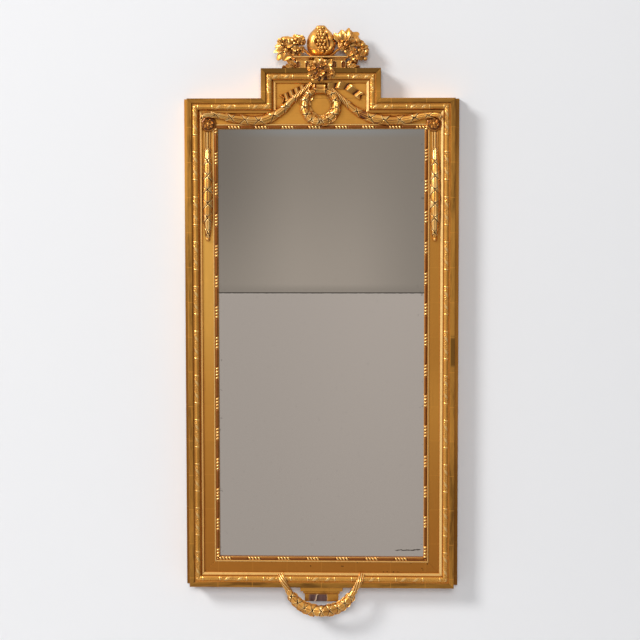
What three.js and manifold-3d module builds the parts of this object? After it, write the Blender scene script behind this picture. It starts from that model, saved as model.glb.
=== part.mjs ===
import * as THREE from "three";
import { mergeVertices } from "three/addons/utils/BufferGeometryUtils.js";
import Module from "manifold-3d";

const wasm = await Module();
wasm.setup();

// A carved and gilded pier mirror in two plates, hung by two iron rings.
// Millimetres: x = 0 is the middle, y = 0 the wall with the front at -y, and heights count
// from the frame's foot until the last lines put the origin at the wall mount.

// ---- Driving dimensions ----
const gap = 0.3; // between pieces that touch
const mitreGap = 0.2; // what each mitred end stops short by
const sliver = 0.12; // detail smaller than this is left out where pieces are joined or cut
const mountHeight = 22; // of the point on the bottom rail's back that bears on the wall

const frame = { width: 627, height: 1155, depth: 46 }; // depth runs from the wall to the frieze
const sideBoard = { proud: 10, depth: 20 };
const crest = { width: 280, rise: 69.5, offWall: 8 };
// Widths across the border, from its outer edge inwards to the glass
const border = {
  band: 11.5,
  groove: 3,
  ribbon: 12,
  cove: 3.5,
  fillet: 5,
  frieze: 24.5,
  sightFillet: 4,
  beading: 8,
};
// Heights of the border's faces above the frieze
const relief = {
  band: 14,
  groove: 5,
  ribbon: 13,
  cove: 2,
  fillet: 3.5,
  sightFillet: 2,
  beading: 4.5,
};
const bandEase = 1; // chamfer on the outer band's front edges
const rebate = { lip: 6, plate: 12, board: 16, boardDepth: 14 };
const plate = { thickness: 4, jointHeight: 700.6, clearance: 1.5 };
const strip = { width: 9.5, depth: 13 };
const backboard = { thickness: 8, count: 3 };

const hanger = { height: 1000, width: 18, thickness: 1.6, knuckle: 8 };
const ring = { radius: 15, wire: 2.25, clearance: 0.85 };
const housing = { margin: 3.5, floorGap: 0.3, inset: 0.6 };
const screw = { head: 4, shank: 1.9, length: 9, slot: 0.9, slotDepth: 0.7, pitch: 14, clear: 4 };

const rosette = { radius: 19, petals: 8, rim: 8, boss: 15, corner: 50, fall: 9 };
const garland = { width: 20, end: 8, tie: 13, height: 14, leafPitch: 16, leafLength: 25 };
const drop = { start: 38, length: 218, width: 24, height: 12, leafPitch: 17, leafLength: 24 };
const wreath = { radius: 34.5, width: 18, height: 15, rise: 18, leafPitch: 17, leafLength: 21 };
const swag = { span: 88, reach: 36, sag: 57, width: 24, strand: 11, height: 16, leafPitch: 19 };

const plinth = { width: 100, height: 27, front: 58, back: 14, flutes: 4, flute: 7, flutePitch: 21 };
const cornice = { reach: 11, height: 9 };
const wing = { reach: 42, rise: 12, thickness: 24 };
const fruit = { radius: 34, height: 73, flatness: 0.66, crownLobes: 5, seed: 4.2 };
const spray = { reach: 92, rise: 56, leafLength: 36, leafWidth: 9.5, berry: 5.5, stem: 2.6 };
const bunch = { width: 62, height: 50, depth: 17, petal: 21, berry: 5 };
const tail = { width: 15, thickness: 2.4, fold: 4 };
const knot = { width: 27, height: 26, rise: 3, proud: 3 };
const apron = { width: 80, back: 20, front: 56 };

// ---- Materials ----
const finish = (color, roughness, metalness) =>
  new THREE.MeshStandardMaterial({ color, roughness, metalness });
const gilt = () => finish(0xbe8c3f, 0.38, 0.85);
const agedGilt = () => finish(0x93652b, 0.5, 0.7);
const pine = () => finish(0x8b6c4a, 0.85, 0);
const silvered = () => finish(0x9b968c, 0.12, 0.9);
const iron = () => finish(0x3c3733, 0.6, 0.8);

// ---- Solid modelling helpers ----
function toSolid(geometry) {
  const bare = geometry.clone();
  bare.deleteAttribute("normal");
  bare.deleteAttribute("uv");
  const merged = mergeVertices(bare, 1e-4);
  return new wasm.Manifold(
    new wasm.Mesh({
      numProp: 3,
      vertProperties: merged.attributes.position.array,
      triVerts: new Uint32Array(merged.index.array),
    }),
  );
}

function toGeometry(solid) {
  const { vertProperties, triVerts } = solid.simplify(sliver).getMesh();
  return new THREE.BufferGeometry()
    .setAttribute("position", new THREE.BufferAttribute(vertProperties, 3))
    .setIndex(new THREE.BufferAttribute(triVerts, 1));
}

const join = (...pieces) => toGeometry(wasm.Manifold.union(pieces.map(toSolid)));
const cut = (piece, ...tools) => toGeometry(wasm.Manifold.difference([piece, ...tools].map(toSolid)));

// A block between two opposite corners.
function block([x0, y0, z0], [x1, y1, z1]) {
  return new THREE.BoxGeometry(x1 - x0, y1 - y0, z1 - z0).translate(
    (x0 + x1) / 2,
    (y0 + y1) / 2,
    (z0 + z1) / 2,
  );
}

// The triangles that close a profile, in the order its points run.
function capOf(profile) {
  const contour = profile.map(([x, y]) => new THREE.Vector2(x, y));
  const faces = THREE.ShapeUtils.triangulateShape(contour, []);
  return THREE.ShapeUtils.isClockWise(contour) ? faces.map(([a, b, c]) => [a, c, b]) : faces;
}

const fan = (count) => Array.from({ length: count - 2 }, (_, i) => [0, i + 1, i + 2]);

// A closed skin over rings of Vector3, capped at both ends unless the rings close on themselves.
function loft(rings, { closed = false, cap = fan(rings[0].length) } = {}) {
  const n = rings[0].length;
  const index = [];
  const spans = closed ? rings.length : rings.length - 1;
  for (let i = 0; i < spans; i++) {
    const next = (i + 1) % rings.length;
    for (let j = 0; j < n; j++) {
      const k = (j + 1) % n;
      index.push(i * n + j, i * n + k, next * n + k, i * n + j, next * n + k, next * n + j);
    }
  }
  const last = (rings.length - 1) * n;
  if (!closed) for (const [a, b, c] of cap) index.push(c, b, a, last + a, last + b, last + c);
  const points = rings.flat();
  const volume = index.reduce(
    (sum, v, i) =>
      i % 3 ? sum : sum + points[v].dot(points[index[i + 1]].clone().cross(points[index[i + 2]])),
    0,
  );
  if (volume < 0) index.reverse();
  return new THREE.BufferGeometry().setFromPoints(points).setIndex(index);
}

// ---- The frame's outline and its mitred border ----
const half = frame.width / 2;
const crestHalf = crest.width / 2;
const crestTop = frame.height + crest.rise;
const outline = [
  [-half, 0],
  [half, 0],
  [half, frame.height],
  [crestHalf, frame.height],
  [crestHalf, crestTop],
  [-crestHalf, crestTop],
  [-crestHalf, frame.height],
  [-half, frame.height],
].map(([x, z]) => new THREE.Vector2(x, z));
const outlineRuns = [
  "bottom",
  "right",
  "shoulder_right",
  "crest_right",
  "crest_top",
  "crest_left",
  "shoulder_left",
  "left",
];
const rectangle = [0, 1, 2, 7].map((i) => outline[i]);
const rectangleRuns = ["bottom", "right", "top", "left"];

// Where each part of the border ends, measured inwards from the outline.
const inset = {};
Object.entries(border).reduce((sum, [part, width]) => (inset[part] = sum + width), 0);
const depthOf = (part) => frame.depth + relief[part];

const direction = (corners, i) => {
  const n = corners.length;
  return corners[(i + 1) % n].clone().sub(corners[i % n]).normalize();
};
const inward = (along) => new THREE.Vector2(-along.y, along.x);

// The profile's points, as [inset, depth], standing at corner i on its mitre.
function cornerRing(corners, i, profile, shift = new THREE.Vector2()) {
  const n = corners.length;
  const mitre = inward(direction(corners, i + n - 1)).add(inward(direction(corners, i)));
  return profile.map(([u, depth]) => {
    const p = corners[i % n].clone().addScaledVector(mitre, u).add(shift);
    return new THREE.Vector3(p.x, -depth, p.y);
  });
}

function mitredRun(corners, i, profile) {
  const shift = direction(corners, i).multiplyScalar(mitreGap);
  return loft(
    [
      cornerRing(corners, i, profile, shift),
      cornerRing(corners, i + 1, profile, shift.clone().negate()),
    ],
    { cap: capOf(profile) },
  );
}

const mitredLoop = (corners, profile) =>
  loft(
    corners.map((_, i) => cornerRing(corners, i, profile)),
    { closed: true },
  );

// Points of a half-round moulding between two insets.
function halfRound(from, to, base, crown, steps = 5) {
  return Array.from({ length: steps + 1 }, (_, i) => {
    const angle = (Math.PI * i) / steps;
    return [
      from + ((to - from) * (1 - Math.cos(angle))) / 2,
      base + (crown - base) * Math.sin(angle),
    ];
  });
}

const seat = frame.depth + gap; // backs of what is glued to the frieze's plane
const railProfile = [
  [0, 0],
  [0, frame.depth],
  [inset.beading, frame.depth],
  [inset.beading, frame.depth - rebate.lip],
  [inset.beading - rebate.plate, frame.depth - rebate.lip],
  [inset.beading - rebate.plate, rebate.boardDepth],
  [inset.beading - rebate.plate - rebate.board, rebate.boardDepth],
  [inset.beading - rebate.plate - rebate.board, 0],
];
const bandProfile = [
  [0, seat],
  [0, depthOf("band") - bandEase],
  [bandEase, depthOf("band")],
  [inset.band - bandEase, depthOf("band")],
  [inset.band, depthOf("band") - bandEase],
  [inset.band, seat],
];
const ribbonProfile = [
  [inset.band + gap, seat],
  [inset.band + gap, depthOf("groove")],
  ...halfRound(inset.groove, inset.ribbon, depthOf("groove"), depthOf("ribbon"), 7).slice(0, -1),
  [inset.ribbon, depthOf("cove")],
  [inset.cove, depthOf("cove")],
  [inset.cove, depthOf("fillet")],
  [inset.fillet, depthOf("fillet")],
  [inset.fillet, seat],
];
const sightProfile = [
  [inset.frieze, seat],
  [inset.frieze, depthOf("sightFillet")],
  ...halfRound(inset.sightFillet, inset.beading, depthOf("sightFillet"), depthOf("beading")),
  [inset.beading, seat],
];

// The room that the border takes, which every ornament laid over it is cut clear of.
const borderRoom = [
  [-gap, 0],
  [-gap, depthOf("band") + gap],
  [inset.ribbon + gap, depthOf("band") + gap],
  [inset.ribbon + gap, depthOf("fillet") + gap],
  [inset.fillet + gap, depthOf("fillet") + gap],
  [inset.fillet + gap, 0],
];
const sightRoom = [
  [inset.frieze - gap, 0],
  [inset.frieze - gap, depthOf("sightFillet") + gap],
  [inset.sightFillet - gap, depthOf("sightFillet") + gap],
  [inset.sightFillet - gap, depthOf("beading") + gap],
  [inset.beading + gap, depthOf("beading") + gap],
  [inset.beading + gap, 0],
];
const frontRoom = join(
  mitredLoop(outline, borderRoom),
  mitredLoop(rectangle, sightRoom),
  block([-half, -seat, 0], [half, 0, frame.height]),
  block([-crestHalf, -seat, frame.height - gap], [crestHalf, 0, crestTop]),
);
const seated = (ornament) => cut(ornament, frontRoom);

// ---- The assembly ----
const mirror = new THREE.Group();
mirror.name = "pier_mirror";
const assembly = new THREE.Group();
assembly.position.z = -mountHeight;
mirror.add(assembly);

function add(name, geometry, material) {
  const mesh = new THREE.Mesh(geometry, material);
  mesh.name = name;
  assembly.add(mesh);
  return mesh;
}

// A left-hand piece and its mirror image.
function addPair(name, geometry, material) {
  add(`${name}_left`, geometry, material());
  add(`${name}_right`, geometry, material()).scale.x = -1;
}

// ---- Carcass ----
const hangerX = -(half + sideBoard.proud - (inset.beading - rebate.plate - rebate.board) / 2 - 5);
const knuckleOuter = ring.wire + ring.clearance + hanger.thickness;
const pivotDepth = housing.inset + knuckleOuter;
const housingDepth = pivotDepth + knuckleOuter + housing.floorGap;
// Both screws sit below the ring as it hangs, and the strap ends round the lower one.
const ringReach = 2 * ring.radius + ring.wire;
const screwHeights = [0, 1].map(
  (i) => hanger.height - ringReach - screw.clear - screw.head - i * screw.pitch,
);
const strapFoot = screwHeights[1] - hanger.width / 2;
const housingHalf = ring.radius + ring.wire + housing.margin;
const screwHole = (z) =>
  new THREE.CylinderGeometry(screw.shank + gap, screw.shank + gap, 2 * screw.length, 10).translate(
    hangerX,
    -housingDepth,
    z,
  );

const stile = join(
  mitredRun(rectangle, 3, railProfile),
  block([-half - sideBoard.proud, -sideBoard.depth, 0], [-half, 0, frame.height]),
);
const stileHousing = block(
  [hangerX - housingHalf, -housingDepth, strapFoot - housing.margin],
  [hangerX + housingHalf, 1, hanger.height + ringReach + housing.margin],
);
addPair("carcass_stile", cut(stile, stileHousing, ...screwHeights.map(screwHole)), agedGilt);
add("carcass_rail_bottom", mitredRun(rectangle, 0, railProfile), agedGilt());
add("carcass_rail_top", mitredRun(rectangle, 2, railProfile), agedGilt());
add(
  "crest_panel",
  block([-crestHalf, -frame.depth, frame.height + gap], [crestHalf, -crest.offWall, crestTop]),
  agedGilt(),
);

// ---- Mouldings ----
outlineRuns.forEach((run, i) => {
  add(`outer_band_${run}`, mitredRun(outline, i, bandProfile), gilt());
  add(`ribbon_moulding_${run}`, mitredRun(outline, i, ribbonProfile), gilt());
});
rectangleRuns.forEach((run, i) =>
  add(`sight_beading_${run}`, mitredRun(rectangle, i, sightProfile), gilt()),
);

// ---- Mirror plates, glazing strips and backboards ----
const rebateEdge = inset.beading - rebate.plate;
const plateFront = frame.depth - rebate.lip - gap;
const plateBack = plateFront - plate.thickness;
const plateHalf = half - rebateEdge - plate.clearance;
const plateFoot = rebateEdge + plate.clearance;
const plateHead = frame.height - plateFoot;
add(
  "mirror_plate_lower",
  block([-plateHalf, -plateFront, plateFoot], [plateHalf, -plateBack, plate.jointHeight - gap]),
  silvered(),
);
add(
  "mirror_plate_upper",
  block([-plateHalf, -plateFront, plate.jointHeight + gap], [plateHalf, -plateBack, plateHead]),
  silvered(),
);

const stripOuter = half - rebateEdge - gap;
const stripFoot = rebateEdge + gap;
const stripFront = -(plateBack - gap);
const stripBack = stripFront + strip.depth;
const stripHead = frame.height - stripFoot;
addPair(
  "glazing_strip",
  block([-stripOuter, stripFront, stripFoot], [-stripOuter + strip.width, stripBack, stripHead]),
  pine,
);
const stripInner = stripOuter - strip.width - gap;
for (const [name, z] of [
  ["glazing_strip_bottom", stripFoot],
  ["glazing_strip_top", stripHead - strip.width],
])
  add(
    name,
    block([-stripInner, stripFront, z], [stripInner, stripBack, z + strip.width]),
    pine(),
  );

const boardEdge = inset.beading - rebate.plate - rebate.board + gap;
const boardPitch = (2 * (half - boardEdge) + gap) / backboard.count;
const boardFront = -(rebate.boardDepth - gap);
["left", "centre", "right"].forEach((side, i) => {
  const x = boardEdge - half + i * boardPitch;
  add(
    `backboard_${side}`,
    block(
      [x, boardFront, boardEdge],
      [x + boardPitch - gap, boardFront + backboard.thickness, frame.height - boardEdge],
    ),
    pine(),
  );
});

// ---- Hanging hardware, let into the stiles ----
const circle = (radius, from, to, steps) =>
  Array.from({ length: steps + 1 }, (_, i) => {
    const angle = from + ((to - from) * i) / steps;
    return [radius * Math.cos(angle), radius * Math.sin(angle)];
  });
// The strap wraps the ring's wire from the wood side over the top and round to below.
const wrapStart = Math.PI;
const wrapEnd = -0.7 * Math.PI;
const wrap = new THREE.Shape(
  [
    ...circle(knuckleOuter, wrapStart, wrapEnd, 12),
    ...circle(knuckleOuter - hanger.thickness, wrapEnd, wrapStart, 12),
  ].map(([y, z]) => new THREE.Vector2(y, z)),
);
const knuckle = new THREE.ExtrudeGeometry(wrap, { depth: hanger.knuckle, bevelEnabled: false })
  .rotateX(Math.PI / 2)
  .rotateZ(Math.PI / 2)
  .translate(hangerX - hanger.knuckle / 2, -pivotDepth, hanger.height);
const strapBack = -(pivotDepth + knuckleOuter);
const strapNeck = block(
  [hangerX - hanger.knuckle / 2, strapBack, hanger.height - knuckleOuter],
  [hangerX + hanger.knuckle / 2, strapBack + hanger.thickness, hanger.height],
);
const strapOutline = new THREE.Shape();
strapOutline.moveTo(-hanger.width / 2, hanger.height - knuckleOuter);
strapOutline.lineTo(-hanger.width / 2, screwHeights[1]);
strapOutline.absarc(0, screwHeights[1], hanger.width / 2, Math.PI, 2 * Math.PI);
strapOutline.lineTo(hanger.width / 2, hanger.height - knuckleOuter);
const strapLeaf = new THREE.ExtrudeGeometry(strapOutline, {
  depth: hanger.thickness,
  bevelEnabled: false,
  curveSegments: 6,
})
  .rotateX(Math.PI / 2)
  .translate(hangerX, strapBack + hanger.thickness, 0);
addPair(
  "hanger_plate",
  cut(join(knuckle, strapNeck, strapLeaf), ...screwHeights.map(screwHole)),
  iron,
);
addPair(
  "hanger_ring",
  new THREE.TorusGeometry(ring.radius, ring.wire, 6, 24)
    .rotateX(Math.PI / 2)
    .translate(hangerX, -pivotDepth, hanger.height - ring.radius),
  iron,
);
screwHeights.forEach((z, i) => {
  const face = strapBack + hanger.thickness;
  const turned = new THREE.LatheGeometry(
    [
      [0, 0],
      [screw.head, 0],
      [screw.head * 0.75, 0.6],
      [0, 0.8],
    ].map(([r, y]) => new THREE.Vector2(r, y + gap)),
    12,
  );
  const shank = new THREE.CylinderGeometry(screw.shank, screw.shank / 3, screw.length, 8).translate(
    0,
    gap + 0.1 - screw.length / 2,
    0,
  );
  const slot = new THREE.BoxGeometry(3 * screw.head, 2 * screw.slotDepth, screw.slot).translate(0, gap + 0.8, 0);
  addPair(
    `hanger_screw_${["upper", "lower"][i]}`,
    cut(join(turned, shank), slot).translate(hangerX, face, z),
    iron,
  );
});

// ---- Carved laurel ----
const front = new THREE.Vector3(0, -1, 0);
const ramp = (stops, t) => {
  const i = stops.findIndex(([at]) => at >= t);
  if (i <= 0) return stops[Math.max(i, 0)][1];
  const [[t0, v0], [t1, v1]] = [stops[i - 1], stops[i]];
  return THREE.MathUtils.mapLinear(t, t0, t1, v0, v1);
};

// A bay leaf along +x from its base: pointed, widest before the middle, with a raised midrib.
function leaf(length, halfWidth, thickness) {
  const section = (t, w, h) => [
    new THREE.Vector3(t * length, w * halfWidth, 0),
    new THREE.Vector3(t * length, 0, h * thickness),
    new THREE.Vector3(t * length, -w * halfWidth, 0),
    new THREE.Vector3(t * length, 0, -h * thickness * 0.6),
  ];
  return loft([section(0, 0.25, 0.4), section(0.35, 1, 1), section(0.7, 0.72, 0.8), section(1, 0.05, 0.1)]);
}

function placed(geometry, at, along, outward) {
  const x = along.clone().normalize();
  const y = outward.clone().cross(x).normalize();
  return geometry.applyMatrix4(
    new THREE.Matrix4().makeBasis(x, y, x.clone().cross(y)).setPosition(at),
  );
}

// Half-round core along a path with a flat back, as rings of points.
function halfRoundCore(curve, width, height, steps, sides = 6) {
  return Array.from({ length: steps + 1 }, (_, i) => {
    const t = i / steps;
    const side = curve.getTangentAt(t).cross(front).normalize();
    const [w, h] = [width(t) / 2, height(t)];
    return circle(1, 0, Math.PI, sides).map(([c, s]) =>
      curve.getPointAt(t).addScaledVector(side, c * w).addScaledVector(front, s * h),
    );
  });
}

// Pairs of leaves up both flanks of a core, each overlapping the pair before it.
function laurelLeaves(curve, width, height, { pitch, length, from = 0, to = 1 }) {
  const span = curve.getLength() * (to - from);
  const pairs = Math.floor(span / pitch);
  return Array.from({ length: 2 * pairs }, (_, i) => {
    const t = from + ((to - from) * Math.floor(i / 2)) / pairs;
    const hand = i % 2 ? 1 : -1;
    const tangent = curve.getTangentAt(t);
    const side = tangent.clone().cross(front).normalize().multiplyScalar(hand);
    const [w, h] = [width(t) / 2, height(t)];
    const base = curve.getPointAt(t).addScaledVector(side, 0.34 * w).addScaledVector(front, 0.72 * h);
    const outward = front.clone().addScaledVector(side, 0.55);
    const along = tangent.clone().addScaledVector(side, 0.36);
    return placed(leaf(length, 0.5 * w, 0.34 * h), base, along, outward);
  });
}

function laurel(curve, width, height, steps, leaves) {
  return join(
    loft(halfRoundCore(curve, width, height, steps)),
    ...laurelLeaves(curve, width, height, leaves),
  );
}

const curveThrough = (points) =>
  new THREE.CatmullRomCurve3(points.map(([x, depth, z]) => new THREE.Vector3(x, -depth, z)));

// ---- Wreath, ribbon knot and tails ----
const wreathAt = { x: 0, z: frame.height - wreath.rise };
const wreathTop = wreathAt.z + wreath.radius;
const circlePath = new THREE.CatmullRomCurve3(
  circle(wreath.radius, Math.PI / 2, -1.5 * Math.PI, 16)
    .slice(0, -1)
    .map(([x, z]) => new THREE.Vector3(x, -seat, wreathAt.z + z)),
  true,
);
const wreathWidth = (t) => ramp([[0, 15], [0.1, wreath.width], [0.9, wreath.width], [1, 15]], t);
const wreathHeight = () => wreath.height - 3;
const wreathCore = loft(halfRoundCore(circlePath, wreathWidth, wreathHeight, 24).slice(0, -1), {
  closed: true,
});
// The two halves of the wreath grow from the foot up to the knot.
const wreathHalf = (mirrored) =>
  new THREE.CatmullRomCurve3(
    circle(wreath.radius, -Math.PI / 2, Math.PI / 2, 10).map(
      ([x, z]) => new THREE.Vector3(mirrored * x, -seat, wreathAt.z + z),
    ),
  );
const wreathLeaves = [-1, 1].flatMap((hand) =>
  laurelLeaves(wreathHalf(hand), wreathWidth, wreathHeight, {
    pitch: wreath.leafPitch,
    length: wreath.leafLength,
    from: 0.02,
    to: 0.8,
  }),
);
add("wreath", seated(join(wreathCore, ...wreathLeaves)), gilt());
const wreathReach = wreath.radius + wreath.width * 0.8 + 2 * gap;
const wreathRoom = new THREE.CylinderGeometry(wreathReach, wreathReach, 200, 48).translate(
  wreathAt.x,
  -seat,
  wreathAt.z,
);

// The knot is a collar of ribbon that wraps over the wreath's top.
const collar = (extra) =>
  loft(
    halfRoundCore(
      curveThrough([
        [-knot.width / 2 - extra, seat, wreathTop + knot.rise],
        [knot.width / 2 + extra, seat, wreathTop + knot.rise],
      ]),
      (t) => 2 * extra + ramp([[0, 0.8], [0.2, 1], [0.8, 1], [1, 0.8]], t) * knot.height,
      () => wreath.height + knot.proud + extra,
      5,
      10,
    ),
  );
const knotRoom = loft(
  halfRoundCore(
    circlePath,
    (t) => wreathWidth(t) + 2 * gap,
    (t) => wreathHeight(t) + gap,
    24,
  ).slice(0, -1),
  { closed: true },
);
add("ribbon_knot", seated(cut(collar(0), knotRoom)), gilt());

// ---- Garlands between the rosettes and the knot ----
const rosetteAt = { x: -half + rosette.corner, z: frame.height - rosette.corner - rosette.fall };
const hook = [rosetteAt.x + rosette.radius * 0.6, rosetteAt.z + rosette.radius];
const tie = [-knot.width, wreathTop + 2 * knot.rise];
// Points of the hang: share of the way from hook to tie, and drop below the chord.
const hang = [[0, 0], [0.27, 26], [0.5, 43], [0.7, 38], [0.86, 18], [1, 0]];
const garlandCurve = curveThrough(
  hang.map(([share, fall]) => [
    THREE.MathUtils.lerp(hook[0], tie[0], share),
    seat,
    THREE.MathUtils.lerp(hook[1], tie[1], share) - fall,
  ]),
);
const garlandWidth = (t) =>
  ramp([[0, garland.end], [0.2, garland.width], [0.8, garland.width], [1, garland.tie]], t);
const garlandHeight = (t) => garlandWidth(t) * (garland.height / garland.width);
const garlandSolid = laurel(garlandCurve, garlandWidth, garlandHeight, 14, {
  pitch: garland.leafPitch,
  length: garland.leafLength,
  from: 0.06,
  to: 0.92,
});

// ---- Corner rosettes ----
const petalRing = (radius, depth, lobes) =>
  Array.from({ length: 4 * rosette.petals }, (_, i) => {
    const angle = (2 * Math.PI * i) / (4 * rosette.petals);
    const r = radius * (1 + lobes * Math.cos(rosette.petals * angle));
    return new THREE.Vector3(r * Math.cos(angle), -depth, r * Math.sin(angle));
  });
const rosetteSolid = loft([
  petalRing(rosette.radius * 0.9, seat, 0.1),
  petalRing(rosette.radius * 0.92, seat + rosette.rim * 0.7, 0.1),
  petalRing(rosette.radius * 0.8, seat + rosette.rim + 2, 0.12),
  petalRing(rosette.radius * 0.42, seat + rosette.rim, 0.05),
  petalRing(rosette.radius * 0.34, seat + rosette.boss - 2, 0),
  petalRing(rosette.radius * 0.15, seat + rosette.boss, 0),
]).translate(rosetteAt.x, 0, rosetteAt.z);
const rosetteRoom = new THREE.CylinderGeometry(rosette.radius + gap, rosette.radius + gap, 200, 32).translate(
  rosetteAt.x,
  -seat,
  rosetteAt.z,
);
addPair("corner_rosette", seated(rosetteSolid), gilt);
addPair("garland", seated(cut(garlandSolid, rosetteRoom, wreathRoom)), gilt);

// ---- Laurel drops under the rosettes ----
const dropX = -half + inset.fillet + border.frieze / 2;
const dropTop = rosetteAt.z - rosette.radius - gap;
const dropCurve = curveThrough(
  [0, 0.5, 1].map((share) => [dropX, seat, dropTop - share * (drop.start + drop.length)]),
);
const bud = drop.start / (drop.start + drop.length);
const dropWidth = (t) =>
  ramp([[0, 8], [bud, 11], [bud + 0.3, drop.width - 3], [0.75, drop.width - 3], [1, 5]], t);
const dropHeight = (t) => ramp([[0, 5], [bud, 7], [bud + 0.3, drop.height], [0.8, drop.height], [1, 5]], t);
addPair(
  "laurel_drop",
  seated(
    laurel(dropCurve, dropWidth, dropHeight, 13, {
      pitch: drop.leafPitch,
      length: drop.leafLength,
      from: bud,
      to: 0.93,
    }),
  ),
  gilt,
);

// ---- Ribbon tails from the knot ----
// A flat band that ripples along its path and ends in a swallow-tail.
function ribbonTail(points) {
  const curve = curveThrough(points);
  const steps = 14;
  const rings = Array.from({ length: steps + 1 }, (_, i) => {
    const t = i / steps;
    const side = curve.getTangentAt(t).cross(front).normalize();
    const lift = tail.fold * (0.5 - 0.5 * Math.cos(t * 6 * Math.PI));
    return [
      [-1, 0],
      [-1, 1],
      [1, 1],
      [1, 0],
    ].map(([across, up]) =>
      curve
        .getPointAt(t)
        .addScaledVector(side, (across * tail.width) / 2)
        .addScaledVector(front, lift + up * tail.thickness),
    );
  });
  const end = curve.getPointAt(1);
  const notch = new THREE.CylinderGeometry(tail.width / 2, tail.width / 2, 60, 3)
    .rotateY(-Math.PI / 2)
    .scale(1, 1, 0.7)
    .translate(end.x - tail.width * 0.12, end.y, end.z);
  return cut(loft(rings), notch);
}
const tailRoot = knot.width / 2;
const tailRoom = loft(
  halfRoundCore(
    garlandCurve,
    (t) => garlandWidth(t) + 10,
    () => 40,
    16,
  ),
);
const leftTail = ribbonTail([
  [-tailRoot, seat, wreathTop + 9],
  [-tailRoot - 24, seat, wreathTop + 9],
  [-tailRoot - 48, seat, wreathTop - 1],
  [-tailRoot - 79, seat, wreathTop - 17],
]);
const rightTail = ribbonTail([
  [-tailRoot, seat, wreathTop + 10],
  [-tailRoot - 27, seat, wreathTop + 15],
  [-tailRoot - 52, seat, wreathTop + 9],
  [-tailRoot - 84, seat, wreathTop - 11],
]);
const tailClear = (solid) => seated(cut(solid, tailRoom, wreathRoom, collar(gap)));
add("ribbon_tail_left", tailClear(leftTail), gilt());
add("ribbon_tail_right", tailClear(rightTail), gilt()).scale.x = -1;

// ---- Flower bunch over the crest ----
const bunchAt = new THREE.Vector3(0, -(depthOf("band") + gap), crestTop - 8);
const ball = (radius, at, detail = 1) =>
  new THREE.IcosahedronGeometry(radius, detail).translate(at.x, at.y, at.z);
const bunchCore = new THREE.SphereGeometry(0.5, 14, 8)
  .scale(bunch.width * 0.72, 2 * bunch.depth * 0.7, bunch.height * 0.8)
  .translate(bunchAt.x, bunchAt.y, bunchAt.z);
const petals = circle(1, 0, 2 * Math.PI, 9)
  .slice(0, -1)
  .map(([c, s]) =>
    placed(
      leaf(bunch.petal, bunch.petal * 0.3, 3),
      bunchAt.clone().add(new THREE.Vector3(c * bunch.width * 0.17, -bunch.depth * 0.55, s * bunch.height * 0.16)),
      new THREE.Vector3(c * bunch.width, 14, s * bunch.height),
      new THREE.Vector3(c * 0.5, -1, s * 0.5),
    ),
  );
const blooms = [
  [-0.14, 0.16],
  [0.16, 0.12],
  [0, -0.14],
].map(([x, z]) =>
  ball(
    bunch.berry,
    bunchAt.clone().add(new THREE.Vector3(x * bunch.width, -bunch.depth * 0.68, z * bunch.height)),
  ),
);
const bunchBack = block([-bunch.width, bunchAt.y, 0], [bunch.width, 0, crestTop + bunch.height]);
add("flower_bunch", cut(join(bunchCore, ...petals, ...blooms), bunchBack), gilt());

// ---- Plinth, pomegranate and sprays on the crest ----
// A stack of rectangles, wider by `out` at each height, so that mouldings return round the ends.
function tiers(levels, width, frontDepth, backDepth) {
  return loft(
    levels.map(([z, out]) =>
      [
        [-1, backDepth],
        [-1, frontDepth + out],
        [1, frontDepth + out],
        [1, backDepth],
      ].map(([hand, depth]) => new THREE.Vector3(hand * (width / 2 + out), -depth, z)),
    ),
  );
}
const plinthFoot = crestTop + gap;
const plinthHead = plinthFoot + plinth.height;
const flutes = Array.from({ length: plinth.flutes }, (_, i) => {
  const x = (i - (plinth.flutes - 1) / 2) * plinth.flutePitch;
  const height = plinth.height - cornice.height - plinth.flute - 2;
  const top = plinthFoot + 2 + height;
  return join(
    new THREE.CylinderGeometry(plinth.flute, plinth.flute, height, 12)
      .rotateX(Math.PI / 2)
      .translate(x, 0, plinthFoot + 2 + height / 2),
    new THREE.SphereGeometry(plinth.flute, 12, 8).rotateX(Math.PI / 2).translate(x, 0, top),
  )
    .scale(1, 0.6, 1)
    .translate(0, -plinth.front, 0);
});
const plinthBody = tiers(
  [
    [plinthFoot, 3],
    [plinthFoot + 2, 3],
    [plinthFoot + 3, 0],
    [plinthHead - cornice.height, 0],
    [plinthHead - cornice.height * 0.7, cornice.reach * 0.55],
    [plinthHead - cornice.height * 0.55, cornice.reach - 1],
    [plinthHead - 1, cornice.reach],
    [plinthHead, cornice.reach - 1],
  ],
  plinth.width,
  plinth.front - 3,
  plinth.back,
);
const wingOutline = new THREE.Shape();
wingOutline.moveTo(-plinth.width / 2 - wing.reach, 0);
wingOutline.bezierCurveTo(
  -plinth.width / 2 - wing.reach,
  wing.rise * 0.7,
  -plinth.width / 2 - wing.reach * 0.55,
  wing.rise * 0.25,
  -plinth.width / 2 - 2,
  wing.rise,
);
wingOutline.lineTo(plinth.width / 2 + 2, wing.rise);
wingOutline.bezierCurveTo(
  plinth.width / 2 + wing.reach * 0.55,
  wing.rise * 0.25,
  plinth.width / 2 + wing.reach,
  wing.rise * 0.7,
  plinth.width / 2 + wing.reach,
  0,
);
const wings = new THREE.ExtrudeGeometry(wingOutline, {
  depth: wing.thickness,
  bevelEnabled: false,
  curveSegments: 8,
})
  .rotateX(Math.PI / 2)
  .translate(0, -plinth.front + 6 + wing.thickness, plinthFoot);
add("crest_plinth", cut(join(plinthBody, wings), ...flutes, bunchRoom()), gilt());

// What the flower bunch hangs in front of keeps clear of its back.
function bunchRoom() {
  return block([-bunch.width, -200, 0], [bunch.width, bunchAt.y - gap, plinthHead - cornice.height]);
}

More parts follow.
